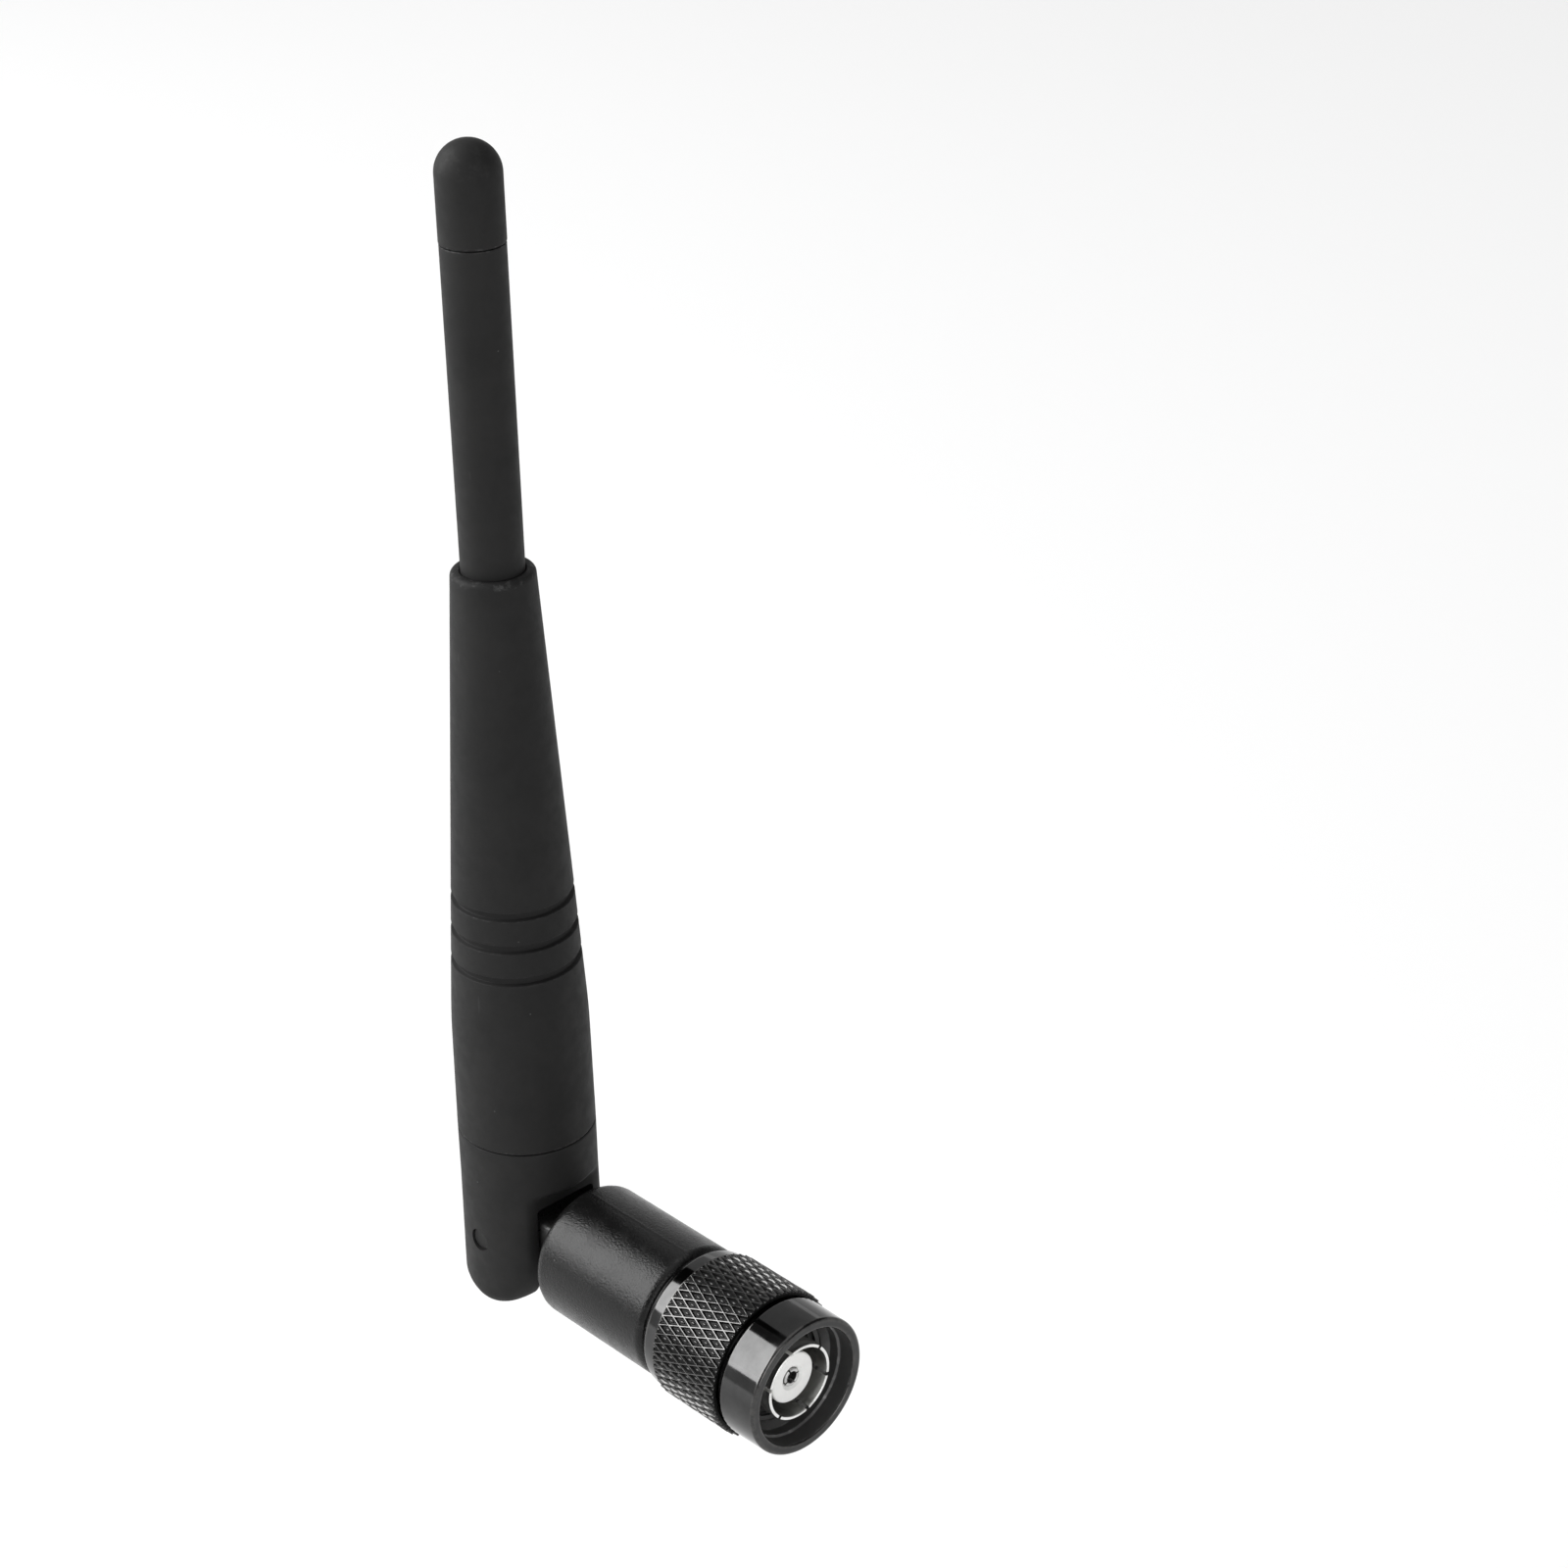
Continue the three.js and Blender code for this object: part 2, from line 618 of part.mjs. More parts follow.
function oRing() {
  const centre = NECK_R + RUN - O_RING_WIRE_R - O_RING_SHADOW;
  const profile = arcPoints(centre, O_RING_X, O_RING_WIRE_R, -90, 270, BEND_STEPS);
  return piece('swivel_o_ring', turned(profile, OUT, MIDDLE), blackRubber());
}

function connectorPieces() {
  const gasket = ring(CONTACT_R + FIT, SHELL_FRONT_R, SHELL_FRONT_X, MATING_X, OUT, MIDDLE);
  const snapRing = splitRing(SNAP_GROOVE_R + FIT, SNAP_R, SNAP_X0, SNAP_X0 + SNAP_THICK, SNAP_GAP);
  const retainer = splitRing(RING_GROOVE_R + FIT, RING_R, RING_X0, RING_X0 + RING_THICK, RING_GAP);
  const ferrule = ring(STEM_R + FERRULE_BRAID, FERRULE_R, FERRULE_X0, FERRULE_X1, OUT);
  const dielectric = ring(CORE_HOLE_R, DIELECTRIC_R, STEM_X0, SOCKET_X0 - FIT, OUT);
  const core = rod(CORE_R, STEM_X0, SOCKET_X0 + CORE_POCKET - 2 * FIT, OUT, COARSE);
  return [
    connectorShell(),
    outerContact(),
    insulator(),
    centreSocket(),
    oRing(),
    piece('face_gasket', gasket, blackRubber()),
    piece('nut_snap_ring', snapRing, steel()),
    piece('swivel_retaining_ring', retainer, steel()),
    piece('crimp_ferrule', ferrule, copper()),
    piece('coax_lead_barrel', rod(LEAD_R, BEND_R + FIT, STEM_X0 - FIT, OUT), brownJacket()),
    piece('coax_dielectric_plug', dielectric, whitePtfe()),
    piece('coax_core_plug', core, copper()),
  ];
}

// ---------------------------------------------------------------- coupling nut

function couplingNut() {
  const grooveEnd = KNURL_X1 + NUT_GROOVE_WIDTH;
  const bulgeR = THREE.MathUtils.lerp(NUT_FLANGE_R, KNURL_R, FLANGE_BULGE);
  const bulgeX = (NUT_X0 + KNURL_X0) / 2;
  const profile = [
    pt(NUT_SEAT_R + RUN, NUT_X0),
    pt(NUT_FLANGE_R, NUT_X0),
    pt(bulgeR, bulgeX),
    pt(KNURL_R, KNURL_X0),
    pt(KNURL_R, KNURL_X1),
    pt(NUT_GROOVE_R, KNURL_X1),
    pt(NUT_GROOVE_R, grooveEnd),
    pt(NUT_R, grooveEnd),
    pt(NUT_R, NUT_X1 - NUT_RIM),
    pt(NUT_R - NUT_RIM, NUT_X1),
    pt(NUT_MOUTH_R, NUT_X1),
    pt(NUT_MOUTH_R, THREAD_X1),
    pt(THREAD_MINOR_R, THREAD_X1 - THREAD_LEAD_IN),
    pt(THREAD_MINOR_R, THREAD_X0),
    pt(NUT_RELIEF_R, THREAD_X0),
    pt(NUT_RELIEF_R, NUT_WALL_X1),
    pt(NUT_SEAT_R + RUN, NUT_WALL_X1),
    pt(NUT_SEAT_R + RUN, NUT_X0),
  ];
  return piece('coupling_nut', turned(profile, OUT, SMOOTH), blackPlating());
}

// ---------------------------------------------------------------- assembly

const mast = new THREE.Group();
mast.add(taperedSheath());
mast.add(whipTube());
mast.add(tipCap());
mast.add(knuckleFork());
mast.add(hingePin('hinge_pin_near', -1));
mast.add(hingePin('hinge_pin_far', 1));
mast.add(cableGrommet());
mast.add(...dipolePieces());

const barrel = new THREE.Group();
barrel.add(barrelShell());
barrel.add(hingeTongue());
barrel.add(swivelBushing());
barrel.add(leadBend());

const connector = new THREE.Group();
connector.add(...connectorPieces());

const antenna = new THREE.Group();
antenna.add(mast);
antenna.add(barrel);
antenna.add(connector);
antenna.add(couplingNut());
antenna.position.x = -MATING_X;

export default antenna;
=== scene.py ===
import json
import math

import bmesh
import bpy
import numpy as np
from mathutils import Euler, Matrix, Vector


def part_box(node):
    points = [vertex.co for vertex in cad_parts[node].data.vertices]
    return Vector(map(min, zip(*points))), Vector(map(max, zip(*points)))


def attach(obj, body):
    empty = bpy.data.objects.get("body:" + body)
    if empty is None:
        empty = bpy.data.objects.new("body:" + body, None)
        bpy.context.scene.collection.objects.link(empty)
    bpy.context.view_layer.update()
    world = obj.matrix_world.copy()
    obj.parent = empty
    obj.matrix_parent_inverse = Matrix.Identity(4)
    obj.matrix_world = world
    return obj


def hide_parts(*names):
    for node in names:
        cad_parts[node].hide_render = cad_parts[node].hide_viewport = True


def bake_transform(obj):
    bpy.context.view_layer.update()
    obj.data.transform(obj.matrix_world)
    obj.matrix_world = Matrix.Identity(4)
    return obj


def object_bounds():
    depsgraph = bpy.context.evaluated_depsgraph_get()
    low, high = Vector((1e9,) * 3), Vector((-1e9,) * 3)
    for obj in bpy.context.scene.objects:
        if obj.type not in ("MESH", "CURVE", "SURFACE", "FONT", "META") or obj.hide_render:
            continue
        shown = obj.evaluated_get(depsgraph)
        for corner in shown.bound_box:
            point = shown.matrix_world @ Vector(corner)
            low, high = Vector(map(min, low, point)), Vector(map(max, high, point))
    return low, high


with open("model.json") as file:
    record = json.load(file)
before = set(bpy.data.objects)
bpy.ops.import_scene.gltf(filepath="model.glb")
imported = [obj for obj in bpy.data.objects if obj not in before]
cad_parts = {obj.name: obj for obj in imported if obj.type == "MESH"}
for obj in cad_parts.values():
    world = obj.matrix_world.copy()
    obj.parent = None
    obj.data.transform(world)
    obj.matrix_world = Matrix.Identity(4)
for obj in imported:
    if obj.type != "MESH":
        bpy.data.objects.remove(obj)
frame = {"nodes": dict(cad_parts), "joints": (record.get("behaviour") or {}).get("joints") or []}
cad_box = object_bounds()

# Shapes are worked out in millimetres from the tilt hinge's axis, as on the antenna's drawing:
# +Z runs up the mast, +X runs out of the connector and Y is the hinge's axis.
MM = 0.001
JOINTS = {joint["name"]: joint for joint in frame["joints"]}
HINGE = Vector(JOINTS["mast_tilt"]["pos_m"])
X_AXIS = 0
Y_AXIS = 1
Z_AXIS = 2


def span(node):
    """Lowest and highest corner of a CAD node, in millimetres from the hinge."""
    low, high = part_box(node)
    return (low - HINGE) / MM, (high - HINGE) / MM


SHEATH_LOW, SHEATH_HIGH = span("tapered_sheath")
TUBE_LOW, TUBE_HIGH = span("whip_tube")
CAP_LOW, CAP_HIGH = span("tip_cap")
KNUCKLE_LOW, KNUCKLE_HIGH = span("knuckle_fork")
BARREL_LOW, BARREL_HIGH = span("barrel_shell")
TONGUE_HIGH = span("hinge_tongue")[1]
PIN_R = span("hinge_pin_near")[1].x
NUT_LOW, NUT_HIGH = span("coupling_nut")
CONTACT_LOW, CONTACT_HIGH = span("outer_contact")
INSULATOR_LOW, INSULATOR_HIGH = span("dielectric_insulator")
SOCKET_LOW, SOCKET_HIGH = span("centre_socket")
LEAD_LOW, LEAD_HIGH = span("coax_lead_mast")

FIT = 0.1                         # gap between pieces that are pressed or glued together
BEYOND = 1.0                      # how far a cutting tool reaches past what it cuts
ROUND_SEGMENTS = 96               # facets around a middling turned piece

# ---------------------------------------------------------------- outlines

FILLET_STEP = math.radians(15)
FILLET_GUARD = 0.12               # unrubbed row beside a fillet, so that its wear stays on it


def corner(radius, station, fillet=0.0, wear_and_highlight_share=1.0):
    return (radius, station, fillet, wear_and_highlight_share)


def outline(corners, closed=True):
    """Turns corners with fillets into rows of (radius, station, worn share).

    The worn share is above 0 only on a fillet marked as worn."""
    rows = []
    count = len(corners)
    guard = FILLET_GUARD
    for i, (radius, station, fillet, wear_and_highlight_share) in enumerate(corners):
        here = np.array((radius, station))
        end = not closed and i in (0, count - 1)
        if fillet == 0 or end:
            rows.append((radius, station, 0.0))
            continue
        before = np.array(corners[i - 1][:2]) - here
        after = np.array(corners[(i + 1) % count][:2]) - here
        room_before = np.hypot(*before) / 2
        room_after = np.hypot(*after) / 2
        before /= np.hypot(*before)
        after /= np.hypot(*after)
        half = math.acos(np.clip(before @ after, -1, 1)) / 2
        reach = fillet / math.tan(half)
        centre = here + (before + after) / np.hypot(*(before + after)) * fillet / math.sin(half)
        start = here + before * reach
        stop = here + after * reach
        first = math.atan2(*(start - centre)[::-1])
        sweep = (math.atan2(*(stop - centre)[::-1]) - first + math.pi) % (2 * math.pi) - math.pi
        steps = max(3, round(abs(sweep) / FILLET_STEP))
        if reach + guard < room_before:
            rows.append((*(here + before * (reach + guard)), 0.0))
        for k in range(steps + 1):
            angle = first + sweep * k / steps
            rows.append((*(centre + fillet * np.array((math.cos(angle), math.sin(angle)))), wear_and_highlight_share))
        if reach + guard < room_after:
            rows.append((*(here + after * (reach + guard)), 0.0))
    return rows


# ---------------------------------------------------------------- meshes


def placed(points):
    """Points in millimetres from the hinge, as metres in the frame."""
    return np.asarray(points, float) * MM + np.array(HINGE)


def make_object(name, points, faces, wear_and_highlight=None, crease_degrees=35):
    """A named object from points in millimetres and faces, with normals out and smooth shading."""
    mesh = bpy.data.meshes.new(name)
    mesh.from_pydata(placed(points).tolist(), [], faces)
    mesh.validate()
    if wear_and_highlight is not None:
        # Edge wear; on the knurl the same share also sets its painted highlight and painted shade.
        mark = mesh.attributes.new("wear_and_highlight", "FLOAT", "POINT")
        mark.data.foreach_set("value", np.asarray(wear_and_highlight, np.float32))
    work = bmesh.new()
    work.from_mesh(mesh)
    bmesh.ops.recalc_face_normals(work, faces=work.faces)
    work.to_mesh(mesh)
    work.free()
    mesh.shade_smooth()
    mesh.set_sharp_from_angle(angle=math.radians(crease_degrees))
    made = bpy.data.objects.new(name, mesh)
    bpy.context.scene.collection.objects.link(made)
    return made


def turned_points(radius, station, angle, along):
    """Points at a radius and angle about the mast (Z), the connector (X) or the hinge (Y)."""
    across = radius * np.cos(angle)
    up = radius * np.sin(angle)
    station = np.broadcast_to(station, np.shape(across))
    if along == Z_AXIS:
        return np.stack([across, up, station], -1)
    if along == Y_AXIS:
        return np.stack([across, station, up], -1)
    return np.stack([station, across, up], -1)


def lathe(name, rows, along, segments, relief=None, closed=True):
    """A closed body of revolution. relief(angle, station, radius) is added to each row's radius."""
    rows = np.array(rows, float)
    angle = np.linspace(0, 2 * math.pi, segments, endpoint=False)
    radius = np.repeat(rows[:, :1], segments, 1)
    if relief is not None:
        radius = radius + relief(angle[None, :], rows[:, 1:2], rows[:, :1])
    points = turned_points(radius, rows[:, 1:2], angle[None, :], along).reshape(-1, 3)
    wear_and_highlight = np.repeat(rows[:, 2], segments)
    faces = []
    last = len(rows) if closed else len(rows) - 1
    for i in range(last):
        below = i * segments
        above = ((i + 1) % len(rows)) * segments
        for j in range(segments):
            k = (j + 1) % segments
            faces.append((below + j, below + k, above + k, above + j))
    if not closed:
        faces.append(tuple(range(segments)))
        faces.append(tuple(range((len(rows) - 1) * segments, len(rows) * segments)))
    return make_object(name, points, faces, wear_and_highlight)


def boxed(name, low, high, bevel):
    """A block with rounded edges."""
    work = bmesh.new()
    bmesh.ops.create_cube(work, size=1)
    low = np.array(low, float)
    high = np.array(high, float)
    for vertex in work.verts:
        vertex.co = Vector(placed((low + high) / 2 + np.array(vertex.co) * (high - low)))
    edges = work.edges[:]
    bmesh.ops.bevel(work, geom=edges, offset=bevel * MM, segments=4, profile=0.5, affect="EDGES")
    mesh = bpy.data.meshes.new(name)
    work.to_mesh(mesh)
    work.free()
    made = bpy.data.objects.new(name, mesh)
    bpy.context.scene.collection.objects.link(made)
    return made


def post(name, radius, start, stop, axis, segments=48):
    """A plain round tool for cutting, along X, Y or Z."""
    angle = np.linspace(0, 2 * math.pi, segments, endpoint=False)
    ring_points = []
    for place in (start, stop):
        point = np.zeros((segments, 3))
        point[:, axis] = place
        point[:, (axis + 1) % 3] = radius * np.cos(angle)
        point[:, (axis + 2) % 3] = radius * np.sin(angle)
        ring_points.append(point)
    faces = [tuple(range(segments)), tuple(range(segments, 2 * segments))]
    for j in range(segments):
        k = (j + 1) % segments
        faces.append((j, k, segments + k, segments + j))
    return make_object(name, np.concatenate(ring_points), faces)


def shaped(base, steps, crease_degrees=35):
    """Joins tools to the base or cuts them from it, and removes the tools."""
    for operation, tool in steps:
        modifier = base.modifiers.new("shape", "BOOLEAN")
        modifier.operation = operation
        modifier.solver = "EXACT"
        modifier.object = tool
    graph = bpy.context.evaluated_depsgraph_get()
    mesh = bpy.data.meshes.new_from_object(base.evaluated_get(graph))
    base.modifiers.clear()
    base.data = mesh
    for _, tool in steps:
        bpy.data.objects.remove(tool)
    mesh.shade_smooth()
    mesh.set_sharp_from_angle(angle=math.radians(crease_degrees))
    return base


def round_both(first, second, radius):
    """Signed distance to where two solids overlap, with the edge between them rounded."""
    inside = np.minimum(np.maximum(first, second), -radius)
    return inside + np.hypot(np.maximum(first + radius, 0), np.maximum(second + radius, 0))


HALVINGS = 40


def wrapped(name, field, rays, angle, along, offset=0.0, reach=30.0):
    """A closed skin where the field is zero.

    Each ray row is (station, tilt), and tilt 90 is a pole."""
    station = np.array([ray[0] for ray in rays], float)[:, None]
    tilt = np.radians(np.array([ray[1] for ray in rays], float))[:, None]
    angle = np.asarray(angle, float)[None, :]
    near = np.zeros((len(rays), angle.shape[1]))
    far = np.full_like(near, reach)

    def at(distance):
        flat = distance * np.cos(tilt)
        points = turned_points(flat, station + distance * np.sin(tilt), angle, along)
        if along == Z_AXIS:
            points[..., 0] += offset
        return points

    for _ in range(HALVINGS):
        middle = (near + far) / 2
        points = at(middle)
        inside = field(points[..., 0], points[..., 1], points[..., 2]) < 0
        near = np.where(inside, middle, near)
        far = np.where(inside, far, middle)
    grid = at(near)
    columns = angle.shape[1]
    points = grid.reshape(-1, 3)
    faces = []
    for i in range(len(rays) - 1):
        row = i * columns
        above = row + columns
        for j in range(columns):
            k = (j + 1) % columns
            faces.append((row + j, row + k, above + k, above + j))
    faces.append(tuple(range(columns)))
    faces.append(tuple(range((len(rays) - 1) * columns, len(rays) * columns)))
    return make_object(name, points, faces)


# ---------------------------------------------------------------- material graphs


class Look:
    """A node material, with one short call for each kind of node."""

    def __init__(self, name):
        self.material = bpy.data.materials.new(name)
        self.material.use_nodes = True
        self.nodes = self.material.node_tree.nodes
        self.links = self.material.node_tree.links
        self.nodes.clear()
        self.output = self.nodes.new("ShaderNodeOutputMaterial")
        self.shader = self.nodes.new("ShaderNodeBsdfPrincipled")
        self.links.new(self.shader.outputs[0], self.output.inputs[0])
        self.place = self.nodes.new("ShaderNodeTexCoord").outputs["Object"]

    def put(self, socket, value):
        if isinstance(value, bpy.types.NodeSocket):
            self.links.new(value, socket)
        else:
            socket.default_value = value

    def set(self, name, value):
        self.put(self.shader.inputs[name], value)

    def stretched(self, scale, turn=(0, 0, 0)):
        node = self.nodes.new("ShaderNodeMapping")
        self.put(node.inputs["Vector"], self.place)
        node.inputs["Scale"].default_value = scale
        node.inputs["Rotation"].default_value = turn
        return node.outputs[0]

    def noise(self, per_mm, detail=2.0, roughness=0.5, distortion=0.0, vector=None):
        node = self.nodes.new("ShaderNodeTexNoise")
        self.put(node.inputs["Vector"], vector or self.place)
        node.inputs["Scale"].default_value = per_mm / MM
        node.inputs["Detail"].default_value = detail
        node.inputs["Roughness"].default_value = roughness
        node.inputs["Distortion"].default_value = distortion
        return node.outputs["Fac"]

    def cells(self, per_mm, vector=None, feature="F1"):
        node = self.nodes.new("ShaderNodeTexVoronoi")
        node.feature = feature
        self.put(node.inputs["Vector"], vector or self.place)
        node.inputs["Scale"].default_value = per_mm / MM
        return node.outputs["Distance"]

    def remap(self, value, low, high, to_low=0.0, to_high=1.0):
        node = self.nodes.new("ShaderNodeMapRange")
        node.interpolation_type = "SMOOTHSTEP"
        self.put(node.inputs["Value"], value)
        node.inputs["From Min"].default_value = low
        node.inputs["From Max"].default_value = high
        node.inputs["To Min"].default_value = to_low
        node.inputs["To Max"].default_value = to_high
        return node.outputs["Result"]

    def calc(self, operation, first, second=0.0):
        node = self.nodes.new("ShaderNodeMath")
        node.operation = operation
        self.put(node.inputs[0], first)
        self.put(node.inputs[1], second)
        return node.outputs[0]

    def blend(self, amount, first, second):
        node = self.nodes.new("ShaderNodeMix")
        node.data_type = "RGBA"
        self.put(node.inputs["Factor"], amount)
        self.put(node.inputs[6], first)
        self.put(node.inputs[7], second)
        return node.outputs[2]

    def attribute(self, name):
        node = self.nodes.new("ShaderNodeAttribute")
        node.attribute_name = name
        return node.outputs["Fac"]

    def bump(self, height, depth_mm, strength=1.0, under=None):
        node = self.nodes.new("ShaderNodeBump")
        node.inputs["Strength"].default_value = strength
        node.inputs["Distance"].default_value = depth_mm * MM
        self.put(node.inputs["Height"], height)
        if under is not None:
            self.put(node.inputs["Normal"], under)
        return node.outputs["Normal"]


def grey(value, warmth=0.0):
    return (value * (1 + warmth), value, value * (1 - warmth), 1.0)


def moulded_plastic(name, shade, roughness, grain_per_mm, grain_mm, specular=0.4, scuffs=0.5):
    """Black moulded plastic: fine grain, cloudy sheen, scuffs, dust specks and rubbed edges."""
    look = Look(name)
    cloud = look.noise(0.09, 4, 0.6)
    patch = look.noise(0.6, 3, 0.6)
    wear_and_highlight = look.attribute("wear_and_highlight")
    chips = look.calc("MULTIPLY", wear_and_highlight, look.remap(look.noise(1.1, 3, 0.7), 0.5, 0.68))
    dust = look.remap(look.cells(0.42), 0.055, 0.02)
    dust = look.calc("MULTIPLY", dust, look.remap(look.noise(0.21, 1), 0.5, 0.6))
    scratch_field = look.noise(0.9, 2, 0.5, 0.4, look.stretched((1, 1, 0.16), (0.5, 0.3, 0.2)))
    scratches = look.remap(scratch_field, 0.735, 0.76)
    marks = look.calc("MULTIPLY", scratches, scuffs)
    base = look.blend(look.remap(cloud, 0.35, 0.65), grey(shade * 0.88), grey(shade * 1.12, 0.01))
    base = look.blend(look.calc("MULTIPLY", chips, 0.5), base, grey(shade * 5))
    base = look.blend(look.calc("MULTIPLY", dust, 0.5), base, grey(0.1))
    base = look.blend(look.calc("MULTIPLY", marks, 0.5), base, grey(shade * 3))
    look.set("Base Color", base)
    rough = look.remap(patch, 0.3, 0.7, roughness - 0.05, roughness + 0.05)
    rough = look.calc("SUBTRACT", rough, look.calc("MULTIPLY", chips, 0.15))
    look.set("Roughness", rough)
    look.set("Specular IOR Level", specular)
    grain = look.noise(grain_per_mm, 2, 0.55)
    normal = look.bump(grain, grain_mm)
    normal = look.bump(marks, 0.01, 0.6, normal)
    normal = look.bump(cloud, 0.012, 0.3, normal)
    look.set("Normal", normal)
    return look.material


def black_plating(name, shade, roughness, edge_shade):
    """Gloss black plating with faint turning lines, rubbed thin along its edges."""
    look = Look(name)
    lines = look.noise(0.35, 5, 0.7, 0, look.stretched((26, 1, 1)))
    smear = look.noise(0.25, 4, 0.65)
    wear_and_highlight = look.attribute("wear_and_highlight")
    thin = look.calc("MULTIPLY", wear_and_highlight, look.remap(look.noise(1.6, 3, 0.7), 0.34, 0.62))
    base = look.blend(look.remap(smear, 0.3, 0.7), grey(shade * 0.85), grey(shade * 1.15))
    base = look.blend(thin, base, grey(edge_shade, 0.02))
    look.set("Base Color", base)
    look.set("Metallic", 1.0)
    rough = look.remap(smear, 0.35, 0.75, roughness, roughness + 0.09)
    rough = look.calc("ADD", rough, look.calc("MULTIPLY", thin, 0.14))
    look.set("Roughness", rough)
    normal = look.bump(lines, 0.002, 0.5)
    normal = look.bump(smear, 0.02, 0.2, normal)
    look.set("Normal", normal)
    return look.material


def knurled_plating(name, worn_crest_highlight_tone, pit_painted_shade_tone):
    """Black plating, smoother on the knurl's crests than in its pits; crests painted lighter
    (partly worn plating, partly painted highlight), pits painted darker (painted shade).
    """
    look = Look(name)
    wear_and_highlight = look.attribute("wear_and_highlight")
    grit = look.noise(7, 3, 0.6)
    smear = look.noise(0.5, 3, 0.6)
    crest = look.remap(wear_and_highlight, 0.25, 0.95)
    # pit tone: painted shade in the knurl's recesses
    pit = look.blend(grit, grey(pit_painted_shade_tone * 0.7), grey(pit_painted_shade_tone * 1.3))
    # crest tone: partly worn plating, partly painted highlight
    crest_painted_highlight = look.blend(smear, grey(worn_crest_highlight_tone * 0.8, 0.01), grey(worn_crest_highlight_tone * 1.2, 0.01))
    look.set("Base Color", look.blend(crest, pit, crest_painted_highlight))
    look.set("Metallic", 1.0)
    look.set("Roughness", look.remap(wear_and_highlight, 0.25, 0.95, 0.55, 0.2))
    look.set("Normal", look.bump(grit, 0.012, 0.6))
    return look.material


def bare_metal(name, colour, dark, roughness, line_stretch):
    """Turned or drawn metal: fine lines along one direction and slightly tarnished patches."""
    look = Look(name)
    lines = look.noise(0.5, 4, 0.7, 0, look.stretched(line_stretch))
    tarnish = look.noise(0.5, 4, 0.65)
    wear_and_highlight = look.attribute("wear_and_highlight")
    base = look.blend(look.remap(tarnish, 0.42, 0.72), colour, dark)
    base = look.blend(look.calc("MULTIPLY", wear_and_highlight, 0.3), base, (0.9, 0.9, 0.9, 1))
    look.set("Base Color", base)
    look.set("Metallic", 1.0)
    look.set("Roughness", look.remap(tarnish, 0.3, 0.8, roughness, roughness + 0.14))
    look.set("Normal", look.bump(lines, 0.003, 0.6))
    return look.material


def white_ptfe(name):
    """Waxy white PTFE with machining rings and a faint mottle."""
    look = Look(name)
    mottle = look.noise(0.8, 4, 0.6)
    rings = look.noise(0.6, 3, 0.6, 0, look.stretched((14, 1, 1)))
    look.set("Base Color", look.blend(mottle, (0.74, 0.74, 0.72, 1), (0.86, 0.86, 0.85, 1)))
    look.set("Roughness", look.remap(mottle, 0.3, 0.7, 0.42, 0.58))
    look.set("Subsurface Weight", 0.15)
    look.set("Subsurface Radius", (0.0006, 0.0006, 0.0006))
    look.set("Normal", look.bump(rings, 0.004, 0.6))
    return look.material


def soft_polymer(name, colour, lighter, roughness, speck_per_mm, depth_mm):
    """Rubber or a lead's jacket: a soft speckle and a shallow uneven surface."""
    look = Look(name)
    speck = look.noise(speck_per_mm, 4, 0.7)
    sheen = look.noise(0.5, 3, 0.6)
    look.set("Base Color", look.blend(look.remap(speck, 0.35, 0.7), colour, lighter))
    look.set("Roughness", look.remap(sheen, 0.3, 0.7, roughness - 0.08, roughness + 0.08))
    look.set("Normal", look.bump(speck, depth_mm, 0.6))
    return look.material


MAST_BLACK = moulded_plastic("mast_black_plastic", 0.012, 0.62, 4.5, 0.008, 0.16)
BARREL_BLACK = moulded_plastic("barrel_black_plastic", 0.005, 0.25, 5.0, 0.05, 0.24)
TONGUE_BLACK = moulded_plastic("tongue_black_plastic", 0.012, 0.3, 5.0, 0.008, 0.6)
PIN_BLACK = moulded_plastic("pin_black_finish", 0.0125, 0.6, 6.0, 0.003, 0.17)
NUT_BLACK = black_plating("nut_gloss_black", 0.056, 0.05, 0.08)
BORE_BLACK = moulded_plastic("nut_bore_black", 0.045, 0.36, 2.5, 0.004, 0.6)
# Crest tone 0.115 is partly a painted highlight; pit tone 0.022 is painted shade.
KNURL_BLACK = knurled_plating("knurl_black", 0.115, 0.022)
# A darker, rougher copy of the nickel: painted shade on the outer contact's bore wall and on the
# centre socket.
ROUGH_NICKEL_PAINTED_SHADE = bare_metal("rough_nickel_painted_shade", (0.4, 0.4, 0.39, 1), (0.2, 0.2, 0.19, 1), 0.3, (18, 1, 1))
NICKEL = bare_metal("bright_nickel", (0.78, 0.78, 0.76, 1), (0.55, 0.55, 0.53, 1), 0.16, (18, 1, 1))
BRASS = bare_metal("turned_brass", (0.66, 0.48, 0.2, 1), (0.42, 0.28, 0.1, 1), 0.24, (1, 1, 14))
COPPER = bare_metal("drawn_copper", (0.72, 0.36, 0.2, 1), (0.45, 0.2, 0.1, 1), 0.28, (14, 14, 1))
STEEL = bare_metal("spring_steel", (0.5, 0.5, 0.51, 1), (0.32, 0.32, 0.33, 1), 0.26, (12, 1, 1))
PTFE = white_ptfe("white_ptfe")
RUBBER = soft_polymer("black_rubber", grey(0.012), grey(0.022), 0.7, 1.6, 0.01)
JACKET = soft_polymer("brown_jacket", (0.14, 0.06, 0.03, 1), (0.2, 0.095, 0.05, 1), 0.38, 0.9, 0.01)


def finish_piece(made, material, slot_name, body, *nodes):
    """Gives a piece its look, hangs it on its body and hides the CAD nodes that it stands for."""
    made.data.materials.clear()
    made.data.materials.append(material)
    if body is not None:
        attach(made, body)
    if nodes:
        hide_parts(*nodes)
    return made


# ---------------------------------------------------------------- mast

